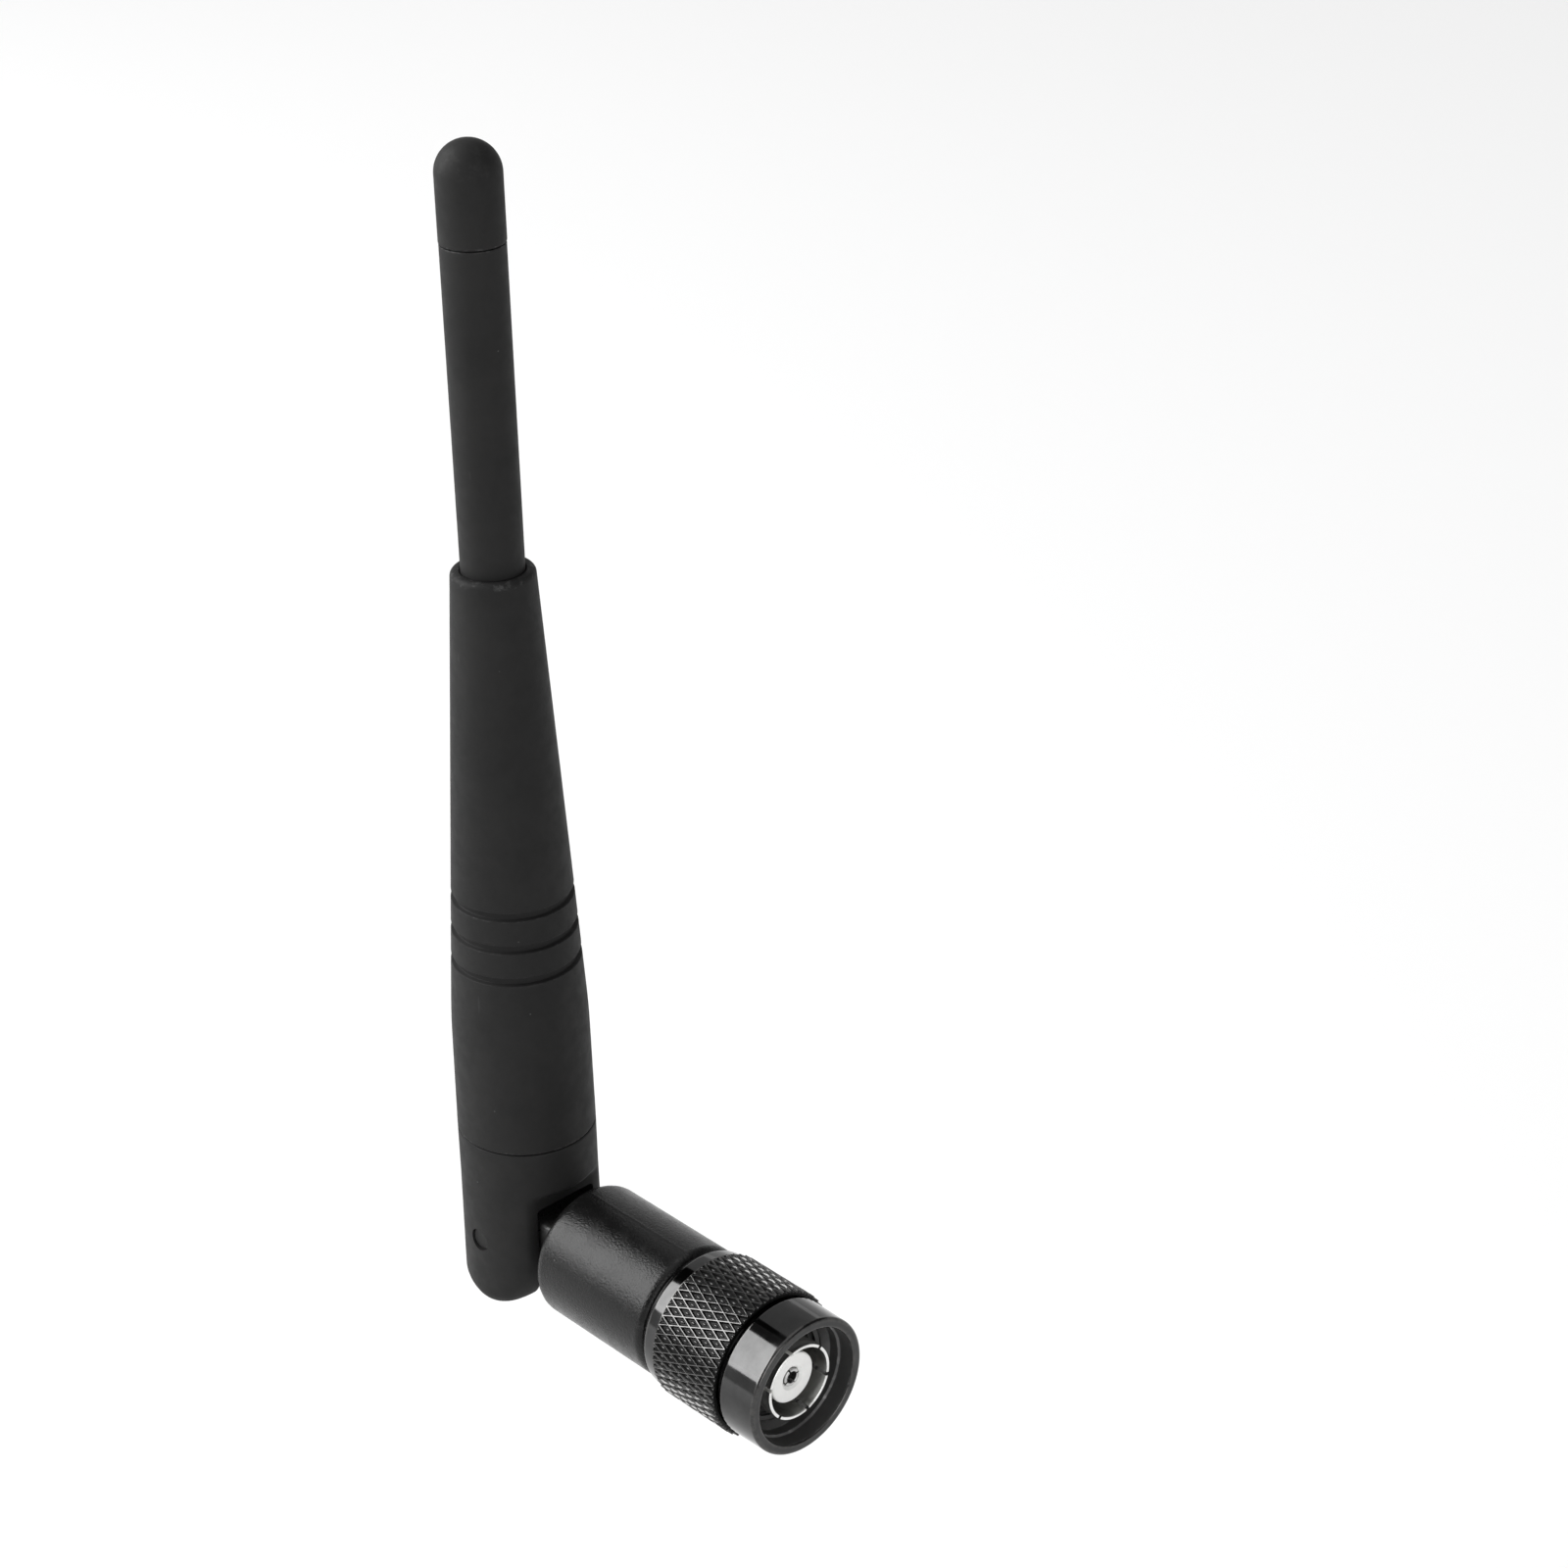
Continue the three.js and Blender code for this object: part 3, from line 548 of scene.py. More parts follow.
MAST_SEGMENTS = 144
SHEATH_R = SHEATH_HIGH.x
SEAM_ROUND = 0.19
CONE_Z = 25.5
CONE_R = 7.15
SWELL_ROUND = 90                  # radius of the slow turn into the taper
SHOULDER_Z = SHEATH_HIGH.z
SHOULDER_R = 4.2
SHOULDER_ROUND = 0.6
SPIGOT_R = 5.75
SPIGOT_BORE_R = 5.85
SPIGOT_TOP_Z = KNUCKLE_HIGH.z
BORE_TAPER = 0.4
TUBE_R = TUBE_HIGH.x
TUBE_WALL = 0.8
TUBE_EDGE = 0.1
TUBE_TOP_EDGE = 0.09
GROOVES = 3
GROOVE_Z = 32.7
GROOVE_PITCH = 3.65
GROOVE_HALF = 0.46
GROOVE_DEPTH = 0.42
GROOVE_LIP = 0.09
GROOVE_ROUND = 0.12
GROOVE_FLOOR_LOW = 0.7            # where the floor starts and ends, as shares of the half width
GROOVE_FLOOR_HIGH = 0.85
LOW_LIP_RUBBED = 0.35
HIGH_LIP_RUBBED = 0.2


def sheath_radius(z):
    return CONE_R + (SHOULDER_R - CONE_R) * (z - CONE_Z) / (SHOULDER_Z - CONE_Z)


def make_sheath():
    bore = TUBE_R + FIT
    corners = [
        corner(SPIGOT_BORE_R, SHEATH_LOW.z),
        corner(SHEATH_R, SHEATH_LOW.z, SEAM_ROUND),
        corner(CONE_R, CONE_Z, SWELL_ROUND, 0.0),
    ]
    for i in range(GROOVES):
        z = GROOVE_Z + i * GROOVE_PITCH
        low = z - GROOVE_HALF
        high = z + GROOVE_HALF
        floor = sheath_radius(z) - GROOVE_DEPTH
        corners += [
            corner(sheath_radius(low), low, GROOVE_LIP, LOW_LIP_RUBBED),
            corner(floor, z - GROOVE_HALF * GROOVE_FLOOR_LOW, GROOVE_ROUND, 0.0),
            corner(floor, z + GROOVE_HALF * GROOVE_FLOOR_HIGH, GROOVE_ROUND, 0.0),
            corner(sheath_radius(high), high, GROOVE_LIP, HIGH_LIP_RUBBED),
        ]
    corners += [
        corner(SHOULDER_R, SHOULDER_Z, SHOULDER_ROUND),
        corner(bore, SHOULDER_Z, 0.12),
        corner(bore, TUBE_LOW.z - FIT),
        corner(SPIGOT_BORE_R - BORE_TAPER, CONE_Z),
        corner(SPIGOT_BORE_R, SPIGOT_TOP_Z + FIT),
    ]
    made = lathe("sheath_skin", outline(corners), Z_AXIS, MAST_SEGMENTS)
    finish_piece(made, MAST_BLACK, "black_plastic", "mast", "tapered_sheath")


def make_tube():
    corners = [
        corner(TUBE_R - TUBE_WALL, TUBE_LOW.z),
        corner(TUBE_R, TUBE_LOW.z, TUBE_EDGE),
        corner(TUBE_R, TUBE_HIGH.z, TUBE_TOP_EDGE),
        corner(TUBE_R - TUBE_WALL, TUBE_HIGH.z),
    ]
    made = lathe("whip_skin", outline(corners), Z_AXIS, ROUND_SEGMENTS)
    finish_piece(made, MAST_BLACK, "black_plastic", "mast", "whip_tube")


CAP_BORE_R = 1.5
CAP_SPIGOT_R = 2.25
CAP_EDGE = 0.12
DOME_STEPS = 28
DOME_RUBBED = 0.15
POLE_R = 0.02                     # radius of the small flat at the dome's top


def make_cap():
    radius = CAP_HIGH.x
    rim = TUBE_HIGH.z + FIT
    centre = CAP_HIGH.z - radius
    corners = [
        corner(CAP_BORE_R, CAP_LOW.z),
        corner(CAP_SPIGOT_R, CAP_LOW.z),
        corner(CAP_SPIGOT_R, rim),
        corner(radius, rim, CAP_EDGE),
        corner(radius, centre),
    ]
    rows = outline(corners, closed=False)
    for i in range(1, DOME_STEPS):
        angle = math.pi / 2 * i / DOME_STEPS
        station = centre + radius * math.sin(angle)
        rows.append((radius * math.cos(angle), station, DOME_RUBBED))
    rows.append((POLE_R, CAP_HIGH.z, DOME_RUBBED))
    made = lathe("tip_skin", rows, Z_AXIS, ROUND_SEGMENTS, closed=False)
    finish_piece(made, MAST_BLACK, "black_plastic", "mast", "tip_cap")


SEAM_Z = 12.0
STRAIGHT_Z = 6.0                  # above this the knuckle has the mast's radius
FOOT_R = -KNUCKLE_LOW.x
FOOT_Z = KNUCKLE_LOW.z
HEEL_ROUND = 2.5
SIDE_ROUND = 1.6
TOE_ROUND = 7.6
TOE_CENTRE_X = -0.6
TOE_DRAFT = 0.3                   # how much the toe's side leans, so that it ends above the foot
EAR_X = 5.73
EAR_TOP_Z = 6.6
EAR_ROUND = 1.0
EAR_EDGE = 0.5
KNUCKLE_SEAM_ROUND = 0.2
SLOT_HALF = 3.85
SLOT_BACK_X = -4.6
SLOT_TOP_Z = 4.7
SLOT_EDGE = 0.45
LEAD_WAY_R = 1.6
GROMMET_POCKET_R = 2.7
GROMMET_POCKET_Z = SEAM_Z + 0.9
PIN_PLAY = 0.06


def knuckle_field(x, y, z):
    """Outside of the knuckle: a column with a rounded foot and a notch for the barrel."""
    column = np.hypot(x, y) - np.interp(z, [FOOT_Z, STRAIGHT_Z], [FOOT_R, SHEATH_R])
    above_toe = z - (FOOT_Z + TOE_ROUND)
    toe = np.hypot(np.maximum(x - TOE_CENTRE_X, 0), np.minimum(above_toe, 0)) - TOE_ROUND
    toe = toe - TOE_DRAFT * np.maximum(above_toe, 0)
    notch = round_both(EAR_X - x, z - EAR_TOP_Z, EAR_ROUND)
    edge = np.interp(x, [-3, 3], [HEEL_ROUND, SIDE_ROUND])
    body = round_both(column, toe, edge)
    body = round_both(body, -notch, EAR_EDGE)
    return round_both(body, z - SEAM_Z, KNUCKLE_SEAM_ROUND)


EAR_EDGE_ANGLE = 34.5             # degrees from +X to the ears' front edges
EAR_EDGE_SPREAD = 7.0
WIDE_STEP = 2.6                   # degrees between rays away from those edges
FINE_GAIN = 1.9                   # how much smaller the step is on them
LEAST_STEP = 0.4                  # no ray closer than this to the first one
RAY_CENTRE_X = -0.9
RAY_CENTRE_Z = -3.0


def knuckle_angles():
    """Ray directions, closer together over the ears' front edges."""
    edge = math.radians(EAR_EDGE_ANGLE)
    angle = -math.pi
    angles = []
    while angle < math.pi - math.radians(LEAST_STEP):
        angles.append(angle)
        near_edge = math.exp(-(((abs(angle) - edge) / math.radians(EAR_EDGE_SPREAD)) ** 2))
        angle += math.radians(WIDE_STEP - FINE_GAIN * near_edge)
    return angles


def make_knuckle():
    edge_rows = [SEAM_Z - d for d in (0.0, 0.006, 0.024, 0.06, 0.12, 0.2, 0.35, 0.8, 1.8, 3.0)]
    upper_rows = list(np.linspace(8.4, 7.3, 5)) + list(np.linspace(7.2, 6.62, 9))
    notch_rows = list(np.linspace(6.6, 5.4, 13))
    lower_rows = list(np.linspace(5.0, RAY_CENTRE_Z, 18))
    rays = [(z, 0) for z in edge_rows + upper_rows + notch_rows + lower_rows]
    rays += [(RAY_CENTRE_Z, tilt) for tilt in np.linspace(-4, -88.5, 38)]
    angles = knuckle_angles()
    base = wrapped("knuckle_skin", knuckle_field, rays, angles, Z_AXIS, offset=RAY_CENTRE_X)
    wide = FOOT_R + 2
    far = 30
    top = SPIGOT_TOP_Z + BEYOND
    slot_low = (SLOT_BACK_X, -SLOT_HALF, -far)
    slot_high = (far, SLOT_HALF, SLOT_TOP_Z)
    steps = [
        ("UNION", post("spigot", SPIGOT_R, SEAM_Z - 2, SPIGOT_TOP_Z, Z_AXIS, ROUND_SEGMENTS)),
        ("DIFFERENCE", boxed("slot", slot_low, slot_high, SLOT_EDGE)),
        ("DIFFERENCE", post("pin_way", PIN_R + PIN_PLAY, -wide, wide, Y_AXIS, 64)),
        ("DIFFERENCE", post("lead_way", LEAD_WAY_R, SLOT_TOP_Z - BEYOND, top, Z_AXIS)),
        ("DIFFERENCE", post("grommet_pocket", GROMMET_POCKET_R, GROMMET_POCKET_Z, top, Z_AXIS)),
    ]
    made = shaped(base, steps)
    finish_piece(made, MAST_BLACK, "black_plastic", "mast", "knuckle_fork")


PIN_EDGE = 0.1
PIN_CENTRE_R = 0.03               # radius of the small flat at the middle of the pin's end


def make_pins():
    for node in ("hinge_pin_near", "hinge_pin_far"):
        low, high = span(node)
        corners = [
            corner(PIN_CENTRE_R, low.y),
            corner(PIN_R, low.y, PIN_EDGE),
            corner(PIN_R, high.y, PIN_EDGE),
            corner(PIN_CENTRE_R, high.y),
        ]
        made = lathe(node + "_skin", outline(corners, closed=False), Y_AXIS, 48, closed=False)
        finish_piece(made, PIN_BLACK, "blackened_steel", "mast", node)


# ---------------------------------------------------------------- barrel

BARREL_R = BARREL_HIGH.z
END_HOLE_R = 4.95
END_LIP_R = 5.7
END_LIP_OUTER_R = 6.0
END_WALL = 1.5
BARREL_BORE_R = 5.6
BARREL_EDGE = 1.2
BARREL_NOSE = 1.0
RIDGE_HEIGHT = 0.035
RIDGE_HALF = 0.09


def parting_ridge(angle, station, radius):
    """A hair-thin mould line along the top and the bottom of the barrel."""
    away = angle % math.pi - math.pi / 2
    ridge = RIDGE_HEIGHT * np.exp(-((away * BARREL_R / RIDGE_HALF) ** 2))
    outside = radius > BARREL_R - 0.2
    return np.where(outside, ridge - RIDGE_HEIGHT, 0)


def make_barrel():
    corners = [
        corner(END_HOLE_R, BARREL_LOW.x + 0.55),
        corner(END_LIP_R, BARREL_LOW.x + 0.4, 0.2),
        corner(END_LIP_OUTER_R, BARREL_LOW.x, 0.25),
        corner(BARREL_R, BARREL_LOW.x, BARREL_EDGE),
        corner(BARREL_R, BARREL_HIGH.x, BARREL_NOSE),
        corner(BARREL_BORE_R, BARREL_HIGH.x),
        corner(BARREL_BORE_R, BARREL_LOW.x + END_WALL),
        corner(END_HOLE_R, BARREL_LOW.x + END_WALL),
    ]
    made = lathe("barrel_skin", outline(corners), X_AXIS, 360, relief=parting_ridge)
    finish_piece(made, BARREL_BLACK, "satin_black_plastic", "barrel", "barrel_shell")


TONGUE_HALF_Y = 3.6
TONGUE_HALF_Z = 3.2
TONGUE_EDGE = 0.75
TONGUE_LEDGE = 0.1                # how far its foot stands out at each side
TONGUE_COLUMNS = 240
SHANK_BORE_R = 2.75
LEAD_SLOT_HALF = 1.55
LEAD_SLOT_LOW_Z = -1.45
LEAD_SLOT_X1 = 3.6
TONGUE_PIN_PLAY = 0.05


def tongue_field(x, y, z):
    """Outside of the tongue's block, rounded at its free end and slightly wider along its foot."""
    ledge = TONGUE_LEDGE * np.interp(z, [-1.05, -0.95], [1, 0])
    sides = np.abs(y) - TONGUE_HALF_Y - ledge
    block = np.hypot(x - np.clip(x, 0, 20), z) - TONGUE_HALF_Z
    return round_both(sides, block, TONGUE_EDGE)


def make_tongue():
    shank_x0 = BARREL_LOW.x + END_WALL + FIT
    shank_x1 = TONGUE_HIGH.x
    rays = [(0.0, tilt) for tilt in np.linspace(-70, -3, 16)]
    rays += [(x, 0) for x in np.linspace(0, shank_x0 + 0.5, 12)]
    step = 2 * math.pi / TONGUE_COLUMNS
    around = [math.radians(0.7) + step * k for k in range(TONGUE_COLUMNS)]
    base = wrapped("tongue_skin", tongue_field, rays, around, X_AXIS)
    far = 6
    slot_low = (-far - BEYOND, -LEAD_SLOT_HALF, LEAD_SLOT_LOW_Z)
    slot_high = (LEAD_SLOT_X1, LEAD_SLOT_HALF, far)
    shank_r = BARREL_BORE_R - FIT
    bore_x0 = BARREL_LOW.x + 0.02
    steps = [
        ("UNION", post("shank", shank_r, shank_x0, shank_x1, X_AXIS, ROUND_SEGMENTS)),
        ("DIFFERENCE", post("lead_way", LEAD_WAY_R, -far, shank_x0 + 1.3, X_AXIS)),
        ("DIFFERENCE", boxed("lead_slot", slot_low, slot_high, 0.3)),
        ("DIFFERENCE", post("ferrule_bore", SHANK_BORE_R, bore_x0, shank_x1 + BEYOND, X_AXIS)),
        ("DIFFERENCE", post("pin_way", PIN_R + TONGUE_PIN_PLAY, -far, far, Y_AXIS, 64)),
    ]
    made = shaped(base, steps)
    finish_piece(made, TONGUE_BLACK, "black_plastic", "barrel", "hinge_tongue")


# ---------------------------------------------------------------- coupling nut

KNURL_R = NUT_HIGH.z
KNURL_X0 = 28.3
KNURL_X1 = 37.2
KNURL_SEAT_R = KNURL_R - 0.55
KNURL_AROUND = 50
KNURL_STEPS = 7
KNURL_DEPTH = 0.27
SEAT_BORE_R = 4.61
SEAT_WALL_X1 = 27.9
RELIEF_R = 5.75                   # room around the snap ring
FLANGE_R = (7.3, 7.62, 7.86)      # the flange grows towards the knurl
FLANGE_STEP_LENGTH = 0.6
GROOVE_R = (7.05, 7.02)           # groove between the knurl and the front ring
GROOVE_WIDTH = 0.55
RING_BACK_R = 7.56
NUT_R = 7.5
NUT_FRONT_EDGE = 0.34
MOUTH_R = 6.44
MOUTH_EDGE = 0.2
MOUTH_STEP_X = 40.6
LEAD_IN_R = 6.2
THREAD_X0 = 31.0
THREAD_X1 = 38.4
THREAD_MINOR_R = 5.15
THREAD_PITCH = 0.907
THREAD_HEIGHT = 0.42
THREAD_ROWS = 90


def thread_relief(angle, station, radius):
    """Depth of the internal thread: a helix that fades out at both ends."""
    phase = (station / THREAD_PITCH - angle / (2 * math.pi)) % 1.0
    tooth = np.clip(1.5 - 3.2 * np.abs(phase - 0.5), 0, 1)
    fade_in = np.clip((station - THREAD_X0) / 0.5, 0, 1)
    fade_out = np.clip((THREAD_X1 - 0.1 - station) / 0.45, 0, 1)
    on_thread = np.abs(radius - THREAD_MINOR_R) < 0.01
    return np.where(on_thread, tooth * fade_in * fade_out * THREAD_HEIGHT, 0)


def dress_inside(made, material, bore_radius):
    """Gives the faces that line a bore along X a second material."""
    made.data.materials.append(material)
    for polygon in made.data.polygons:
        if math.hypot(polygon.center.y, polygon.center.z) < (bore_radius + 0.01) * MM:
            polygon.material_index = 1


def make_nut_body():
    seat = NUT_LOW.x
    front = NUT_HIGH.x
    thread_root = THREAD_MINOR_R + THREAD_HEIGHT
    outside = [
        corner(SEAT_BORE_R, seat),
        corner(FLANGE_R[0], seat, 0.1),
        corner(FLANGE_R[1], seat + FLANGE_STEP_LENGTH, 0.3),
        corner(FLANGE_R[2], KNURL_X0, 0.08),
        corner(KNURL_SEAT_R, KNURL_X0),
        corner(KNURL_SEAT_R, KNURL_X1),
        corner(GROOVE_R[0], KNURL_X1),
        corner(GROOVE_R[1], KNURL_X1 + GROOVE_WIDTH, 0.08),
        corner(RING_BACK_R, KNURL_X1 + GROOVE_WIDTH + 0.07, 0.14),
        corner(NUT_R, front, NUT_FRONT_EDGE),
        corner(MOUTH_R, front, MOUTH_EDGE),
        corner(MOUTH_R, MOUTH_STEP_X, 0.04),
        corner(LEAD_IN_R, MOUTH_STEP_X - 0.14, 0.04),
        corner(LEAD_IN_R, THREAD_X1 + 1.0, 0.06),
        corner(thread_root, THREAD_X1 + 0.3, 0.06),
        corner(thread_root, THREAD_X1 + 0.1),
    ]
    rows = outline(outside, closed=False)
    rows.append((THREAD_MINOR_R, THREAD_X1, 0.0))
    for i in range(THREAD_ROWS + 1):
        station = THREAD_X1 + (THREAD_X0 - THREAD_X1) * i / THREAD_ROWS
        rows.append((THREAD_MINOR_R, station, 0.0))
    rows += [
        (RELIEF_R, THREAD_X0, 0.0),
        (RELIEF_R, SEAT_WALL_X1, 0.0),
        (SEAT_BORE_R, SEAT_WALL_X1, 0.0),
    ]
    made = lathe("nut_body_skin", rows, X_AXIS, 160, relief=thread_relief)
    finish_piece(made, NUT_BLACK, "black_plating", "nut", "coupling_nut")
    dress_inside(made, BORE_BLACK, MOUTH_R)


def knurl_point(across, along_steps, radius):
    """A point of the knurl, in half steps around and along it."""
    angle = across * math.pi / KNURL_AROUND
    station = KNURL_X0 + (KNURL_X1 - KNURL_X0) * along_steps / KNURL_STEPS
    return (station, radius * math.cos(angle), radius * math.sin(angle))


# Nested rings of each pit: size beside the whole diamond, depth below the crest, and share of the
# crest's lighter tone, partly worn plating and partly painted highlight (0 gives the pit's painted
# shade).
PIT_RINGS = (
    (0.9, 0.01, 1.0),
    (0.66, KNURL_DEPTH, 0.0),
    (0.34, KNURL_DEPTH, 0.0),
    (0.2, 0.16, 0.55),
)
PIT_PEAK = 0.14
# The raised dot in each pit is painted lighter: a painted highlight.
PIT_PEAK_PAINTED_HIGHLIGHT = 0.75
PIT_BULGE = 0.16                  # how much rounder than the diamond the pit's floor is
KNURL_FOOT_R = KNURL_SEAT_R + 0.01  # inner face of the ring, just clear of the nut's body


class Knurl:
    """Raised crossing ridges with a dimpled pit in every diamond, as a ring on the nut's body."""

    def __init__(self):
        self.points = []
        self.wear_and_highlight = []
        self.faces = []
        self.index = {}

    def vertex(self, across, along_steps, radius, wear_and_highlight_share):
        key = (round(across % (2 * KNURL_AROUND), 4), round(along_steps, 4), round(radius, 4))
        if key not in self.index:
            self.index[key] = len(self.points)
            self.points.append(knurl_point(across, along_steps, radius))
            self.wear_and_highlight.append(wear_and_highlight_share)
        return self.index[key]

    def cell(self, i, j):
        """One diamond, or half of one at an end of the band."""
        directions = [(1, 0), (0.5, 0.5), (0, 1), (-0.5, 0.5)]
        directions += [(-1, 0), (-0.5, -0.5), (0, -1), (0.5, -0.5)]
        if j == 0:
            directions = directions[:5]
        elif j == KNURL_STEPS:
            directions = directions[4:] + directions[:1]
        whole = 0 < j < KNURL_STEPS
        # The crest takes the whole lighter tone: partly worn plating, partly painted highlight.
        rings = [[self.vertex(i + u, j + v, KNURL_R, 1.0) for u, v in directions]]
        for size, depth, wear_and_highlight_share in PIT_RINGS:
            ring = []
            for u, v in directions:
                bulge = 1 + PIT_BULGE * (1 - size) if abs(u) == 0.5 else 1
                across = i + u * size * bulge
                along_steps = j + v * size * bulge
                ring.append(self.vertex(across, along_steps, KNURL_R - depth, wear_and_highlight_share))
            rings.append(ring)
        centre = self.vertex(i, j, KNURL_R - PIT_PEAK, PIT_PEAK_PAINTED_HIGHLIGHT)
        sides = len(directions) if whole else len(directions) - 1
        for outer, inner in zip(rings, rings[1:]):
            for k in range(sides):
                n = (k + 1) % len(directions)
                self.faces.append((outer[k], outer[n], inner[n], inner[k]))
        for k in range(sides):
            n = (k + 1) % len(directions)
            self.faces.append((rings[-1][k], rings[-1][n], centre))
        if not whole:
            self.skirt(i, j, [ring[0] for ring in rings], [ring[-1] for ring in rings], centre)

    def skirt(self, i, j, first_side, last_side, centre):
        """Closes the end of the band below a half diamond."""
        edge = first_side + [centre] + last_side[::-1]
        sizes = [1.0] + [ring[0] for ring in PIT_RINGS]
        turn = 1 if j == 0 else -1
        across = [i + turn * s for s in sizes] + [i] + [i - turn * s for s in sizes[::-1]]
        foot = [self.vertex(a, j, KNURL_FOOT_R, 0.0) for a in across]
        for k in range(len(edge) - 1):
            self.faces.append((edge[k], edge[k + 1], foot[k + 1], foot[k]))

    def underside(self):
        """Inner face of the ring, between the feet of its two end skirts."""
        ends = {0: [], KNURL_STEPS: []}
        for (across, along_steps, radius), number in self.index.items():
            if abs(radius - KNURL_FOOT_R) < 1e-6:
                ends[along_steps].append((across, number))
        self.join(sorted(ends[0]), sorted(ends[KNURL_STEPS]))

    def join(self, first, second):
        """Zips two rings of vertices that are sorted by their place around the band."""
        whole = 2 * KNURL_AROUND
        first = first + [(first[0][0] + whole, first[0][1])]
        second = second + [(second[0][0] + whole, second[0][1])]
        a = b = 0
        while a < len(first) - 1 or b < len(second) - 1:
            step_first = b == len(second) - 1
            if not step_first and a < len(first) - 1:
                step_first = first[a + 1][0] <= second[b + 1][0]
            if step_first:
                self.faces.append((first[a][1], first[a + 1][1], second[b][1]))
                a += 1
            else:
                self.faces.append((first[a][1], second[b + 1][1], second[b][1]))
                b += 1


def make_knurl():
    knurl = Knurl()
    for i in range(2 * KNURL_AROUND):
        for j in range(KNURL_STEPS + 1):
            if (i + j) % 2 == 1:
                knurl.cell(i, j)
    knurl.underside()
    made = make_object("nut_knurl_skin", knurl.points, knurl.faces, knurl.wear_and_highlight, crease_degrees=50)
    finish_piece(made, KNURL_BLACK, "black_plating", "nut")


# ---------------------------------------------------------------- plug's contacts

CONTACT_R = CONTACT_HIGH.z
CONTACT_BORE_R = 3.8
CONTACT_SLOTS = 6
CONTACT_SLOT_HALF = 0.2
CONTACT_SLOT_X0 = 36.4
CONTACT_SLOT_TURN = math.radians(15)
FINGER_STEP = 0.4                 # the thin fingers start this far behind their slots


def slit(name, half, start, stop, radius, turn):
    """A thin blade through the axis, for cutting a pair of slits."""
    tool = boxed(name, (start, -half, -radius), (stop, half, radius), half * 0.2)
    rolled = Euler((turn, 0, 0)).to_matrix()
    for vertex in tool.data.vertices:
        vertex.co = rolled @ vertex.co
    return tool


def make_contact():
    front = CONTACT_HIGH.x
    back = CONTACT_LOW.x
    bore = INSULATOR_HIGH.z + FIT
    corners = [
        corner(bore, back),
        corner(CONTACT_R, back),
        corner(CONTACT_R, front, 0.12),
        corner(CONTACT_BORE_R, front, 0.08),
        corner(CONTACT_BORE_R, CONTACT_SLOT_X0 - FINGER_STEP),
        corner(bore, CONTACT_SLOT_X0 - FINGER_STEP),
    ]
    base = lathe("contact_skin", outline(corners), X_AXIS, 120)
    steps = []
    for i in range(CONTACT_SLOTS // 2):
        turn = CONTACT_SLOT_TURN + i * 2 * math.pi / CONTACT_SLOTS
        stop = front + BEYOND
        radius = CONTACT_R + BEYOND
        blade = slit("contact_slit", CONTACT_SLOT_HALF, CONTACT_SLOT_X0, stop, radius, turn)
        steps.append(("DIFFERENCE", blade))
    made = shaped(base, steps)
    finish_piece(made, NICKEL, "nickel", "connector", "outer_contact")
    # The bore's wall takes the darker nickel: painted shade inside the contact.
    dress_inside(made, ROUGH_NICKEL_PAINTED_SHADE, CONTACT_BORE_R)


INSULATOR_BORE_R = 1.06
COUNTERSINK_R = 1.4
COUNTERSINK_DEPTH = 0.3


def make_insulator():
    corners = [
        corner(INSULATOR_BORE_R, INSULATOR_LOW.x),
        corner(INSULATOR_HIGH.z, INSULATOR_LOW.x),
        corner(INSULATOR_HIGH.z, INSULATOR_HIGH.x, 0.18),
        corner(COUNTERSINK_R, INSULATOR_HIGH.x, 0.06),
        corner(INSULATOR_BORE_R, INSULATOR_HIGH.x - COUNTERSINK_DEPTH),
    ]
    made = lathe("insulator_skin", outline(corners), X_AXIS, ROUND_SEGMENTS)
    finish_piece(made, PTFE, "white_ptfe", "connector", "dielectric_insulator")


SOCKET_HOLE_R = 0.64
SOCKET_HOLE_DEPTH = 5
CORE_HOLE_R = 0.34
SOCKET_SLITS = 4
SOCKET_SLIT_HALF = 0.09
SOCKET_SLIT_LENGTH = 3


def make_socket():
    radius = SOCKET_HIGH.z
    front = SOCKET_HIGH.x
    deep = front - SOCKET_HOLE_DEPTH
    corners = [
        corner(CORE_HOLE_R, SOCKET_LOW.x),
        corner(radius, SOCKET_LOW.x),
        corner(radius, front, 0.12),
        corner(SOCKET_HOLE_R, front, 0.1),
        corner(SOCKET_HOLE_R, deep),
        corner(CORE_HOLE_R, deep - 0.4),
    ]
    base = lathe("socket_skin", outline(corners), X_AXIS, 64)
    steps = []
    for i in range(SOCKET_SLITS // 2):
        turn = math.radians(20) + i * 2 * math.pi / SOCKET_SLITS
        start = front - SOCKET_SLIT_LENGTH
        stop = front + BEYOND
        blade = slit("socket_slit", SOCKET_SLIT_HALF, start, stop, radius + BEYOND, turn)
        steps.append(("DIFFERENCE", blade))
    made = shaped(base, steps)
    # The socket takes the darker nickel: painted shade.
    finish_piece(made, ROUGH_NICKEL_PAINTED_SHADE, "nickel", "connector", "centre_socket")


# ---------------------------------------------------------------- lead through the hinge

BEND_RINGS = 24
BEND_SIDES = 32
BEND_GAP = 0.05                   # left between the bend and the straight lead in the mast


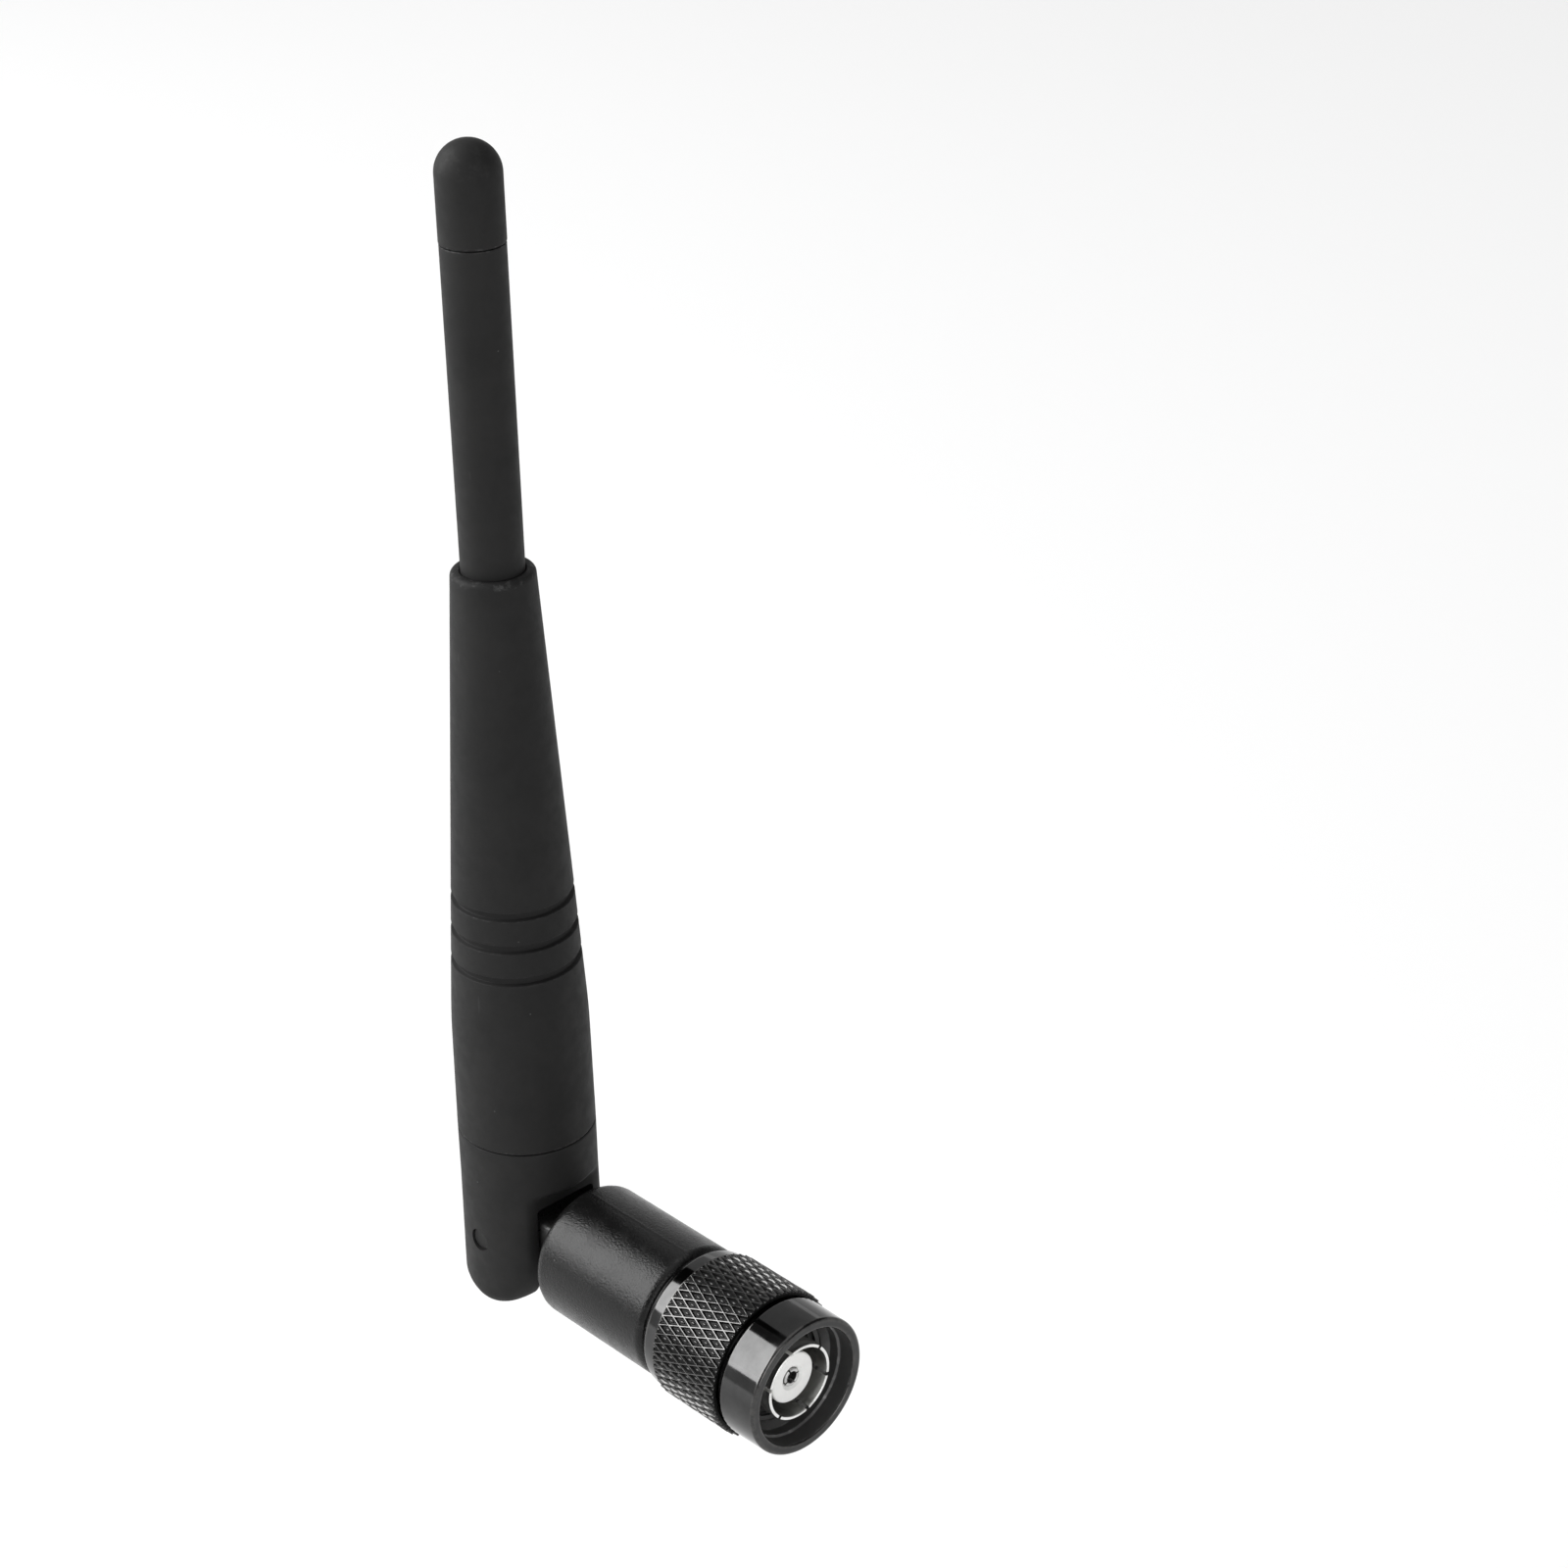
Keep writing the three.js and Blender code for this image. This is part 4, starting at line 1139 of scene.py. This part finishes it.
def make_bend():
    """The lead's quarter turn from the barrel's axis to the mast's."""
    radius = LEAD_HIGH.x
    turn_radius = LEAD_LOW.z - BEND_GAP
    rings = BEND_RINGS
    sides = BEND_SIDES
    points = []
    for i in range(rings + 1):
        angle = math.pi / 2 * i / rings
        outward = np.array((-math.sin(angle), 0, -math.cos(angle)))
        centre = turn_radius * (np.array((1, 0, 1)) + outward)
        for j in range(sides):
            around = 2 * math.pi * j / sides
            sideways = np.array((0, math.sin(around), 0))
            points.append(centre + radius * (math.cos(around) * outward + sideways))
    faces = [tuple(range(sides)), tuple(range(rings * sides, (rings + 1) * sides))]
    for i in range(rings):
        row = i * sides
        above = row + sides
        for j in range(sides):
            k = (j + 1) % sides
            faces.append((row + j, row + k, above + k, above + j))
    made = make_object("lead_bend_skin", points, faces)
    finish_piece(made, JACKET, "brown_jacket", None, "coax_lead_bend")
    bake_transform(made)


CARRIED_OVER = {
    NICKEL: ["connector_shell"],
    RUBBER: ["swivel_o_ring", "face_gasket", "cable_grommet"],
    STEEL: ["nut_snap_ring", "swivel_retaining_ring"],
    BRASS: ["swivel_bushing", "lower_sleeve", "upper_radiator"],
    COPPER: ["crimp_ferrule", "coax_core_plug", "coax_core_top", "sleeve_collar"],
    PTFE: [
        "coax_dielectric_plug",
        "coax_dielectric_top",
        "feed_bead",
        "radiator_spacer",
        "sleeve_spacer",
    ],
    JACKET: ["coax_lead_barrel", "coax_lead_mast"],
}


def dress_cad_nodes():
    for material, names in CARRIED_OVER.items():
        for name in names:
            mesh = frame["nodes"][name].data
            mesh.materials.clear()
            mesh.materials.append(material)


make_sheath()
make_tube()
make_cap()
make_knuckle()
make_pins()
make_barrel()
make_tongue()
make_nut_body()
make_knurl()
make_contact()
make_insulator()
make_socket()
make_bend()
dress_cad_nodes()

# ---------------------------------------------------------------- studio


def pale_material(name, shade, glow):
    """A matt pale surface with a glow of its own, so that it renders nearly white."""
    look = Look(name)
    mottle = look.noise(0.004, 3, 0.5)
    look.set("Base Color", look.blend(mottle, grey(shade * 0.985), grey(shade)))
    look.set("Emission Color", grey(1.0))
    look.set("Emission Strength", glow)
    look.set("Roughness", 0.9)
    look.set("Specular IOR Level", 0.1)
    return look.material


FLOOR_GAP = 2.0                   # left under the tip when the mast hangs straight down
FLOOR_HUB_R = 10.0
FLOOR_R = 3000.0
FLOOR_CURVE = 1500.0
FLOOR_STEPS = 12
FLOOR_SEGMENTS = 96


def make_floor():
    """A level floor that curves up into a wall all round, far behind every view.

    The antenna is held by its plug, so the floor is below the lowest reach of its mast."""
    level = -cad_box[1].z / MM - FLOOR_GAP
    rows = [(FLOOR_HUB_R, level)]
    for i in range(FLOOR_STEPS + 1):
        angle = math.pi / 2 * i / FLOOR_STEPS
        rise = FLOOR_CURVE * (1 - math.cos(angle))
        rows.append((FLOOR_R + FLOOR_CURVE * math.sin(angle), level + rise))
    rows = np.array(rows)
    angle = np.linspace(0, 2 * math.pi, FLOOR_SEGMENTS, endpoint=False)
    points = turned_points(rows[:, :1], rows[:, 1:], angle[None, :], Z_AXIS).reshape(-1, 3) * MM
    faces = [tuple(range(FLOOR_SEGMENTS))]
    for i in range(len(rows) - 1):
        for j in range(FLOOR_SEGMENTS):
            k = (j + 1) % FLOOR_SEGMENTS
            row = i * FLOOR_SEGMENTS
            above = row + FLOOR_SEGMENTS
            faces.append((row + k, row + j, above + j, above + k))
    mesh = bpy.data.meshes.new("floor")
    mesh.from_pydata(points.tolist(), [], faces)
    mesh.shade_smooth()
    mesh.materials.append(pale_material("pale_floor", 0.4, 0.52))
    floor = bpy.data.objects.new("floor", mesh)
    bpy.context.scene.collection.objects.link(floor)


# Name, direction, distance, width, height and radiance of each soft light.
SOFT_LIGHTS = (
    ("key", (-0.62, -0.57, 0.53), 1.2, 1.3, 0.95, 7.0),
    ("back_fill", (-0.59, 0.52, 0.62), 1.4, 1.1, 1.5, 0.45),
    ("front_fill", (0.85, -0.35, 0.4), 1.3, 1.0, 1.0, 2.2),
)
SUN_STRENGTH = 0.6
SUN_ANGLE = 60
WORLD_STRENGTH = 0.12


def soft_light(name, direction, distance, width, height, radiance):
    """An area light that faces the connector from a direction."""
    data = bpy.data.lights.new(name, "AREA")
    data.shape = "RECTANGLE"
    data.size = width
    data.size_y = height
    data.energy = radiance * math.pi * width * height
    light = bpy.data.objects.new(name, data)
    light.visible_camera = False
    aim = Vector((0, 0, 0.02))
    towards = Vector(direction).normalized()
    light.location = aim + towards * distance
    light.rotation_euler = (-towards).to_track_quat("-Z", "Y").to_euler()
    bpy.context.scene.collection.objects.link(light)


def make_lights():
    for row in SOFT_LIGHTS:
        soft_light(*row)
    sun = bpy.data.lights.new("overhead", "SUN")
    sun.energy = SUN_STRENGTH
    sun.angle = math.radians(SUN_ANGLE)
    high = bpy.data.objects.new("overhead", sun)
    bpy.context.scene.collection.objects.link(high)
    world = bpy.data.worlds.new("studio")
    world.use_nodes = True
    background = world.node_tree.nodes["Background"]
    background.inputs["Color"].default_value = (1, 1, 1, 1)
    background.inputs["Strength"].default_value = WORLD_STRENGTH
    bpy.context.scene.world = world


CAMERA_PLACE = (0.19953, -0.18200, 0.20738)
CAMERA_TURN = (62.168, 0.909, 46.329)
CAMERA_LENS = 76.54


def make_camera():
    data = bpy.data.cameras.new("camera")
    data.sensor_width = 36
    data.lens = CAMERA_LENS
    data.clip_start = 0.01
    data.clip_end = 30
    camera = bpy.data.objects.new("camera", data)
    camera.location = CAMERA_PLACE
    camera.rotation_euler = Euler([math.radians(angle) for angle in CAMERA_TURN])
    bpy.context.scene.collection.objects.link(camera)
    bpy.context.scene.camera = camera


make_floor()
make_lights()
make_camera()
bpy.context.scene.view_settings.view_transform = "Standard"
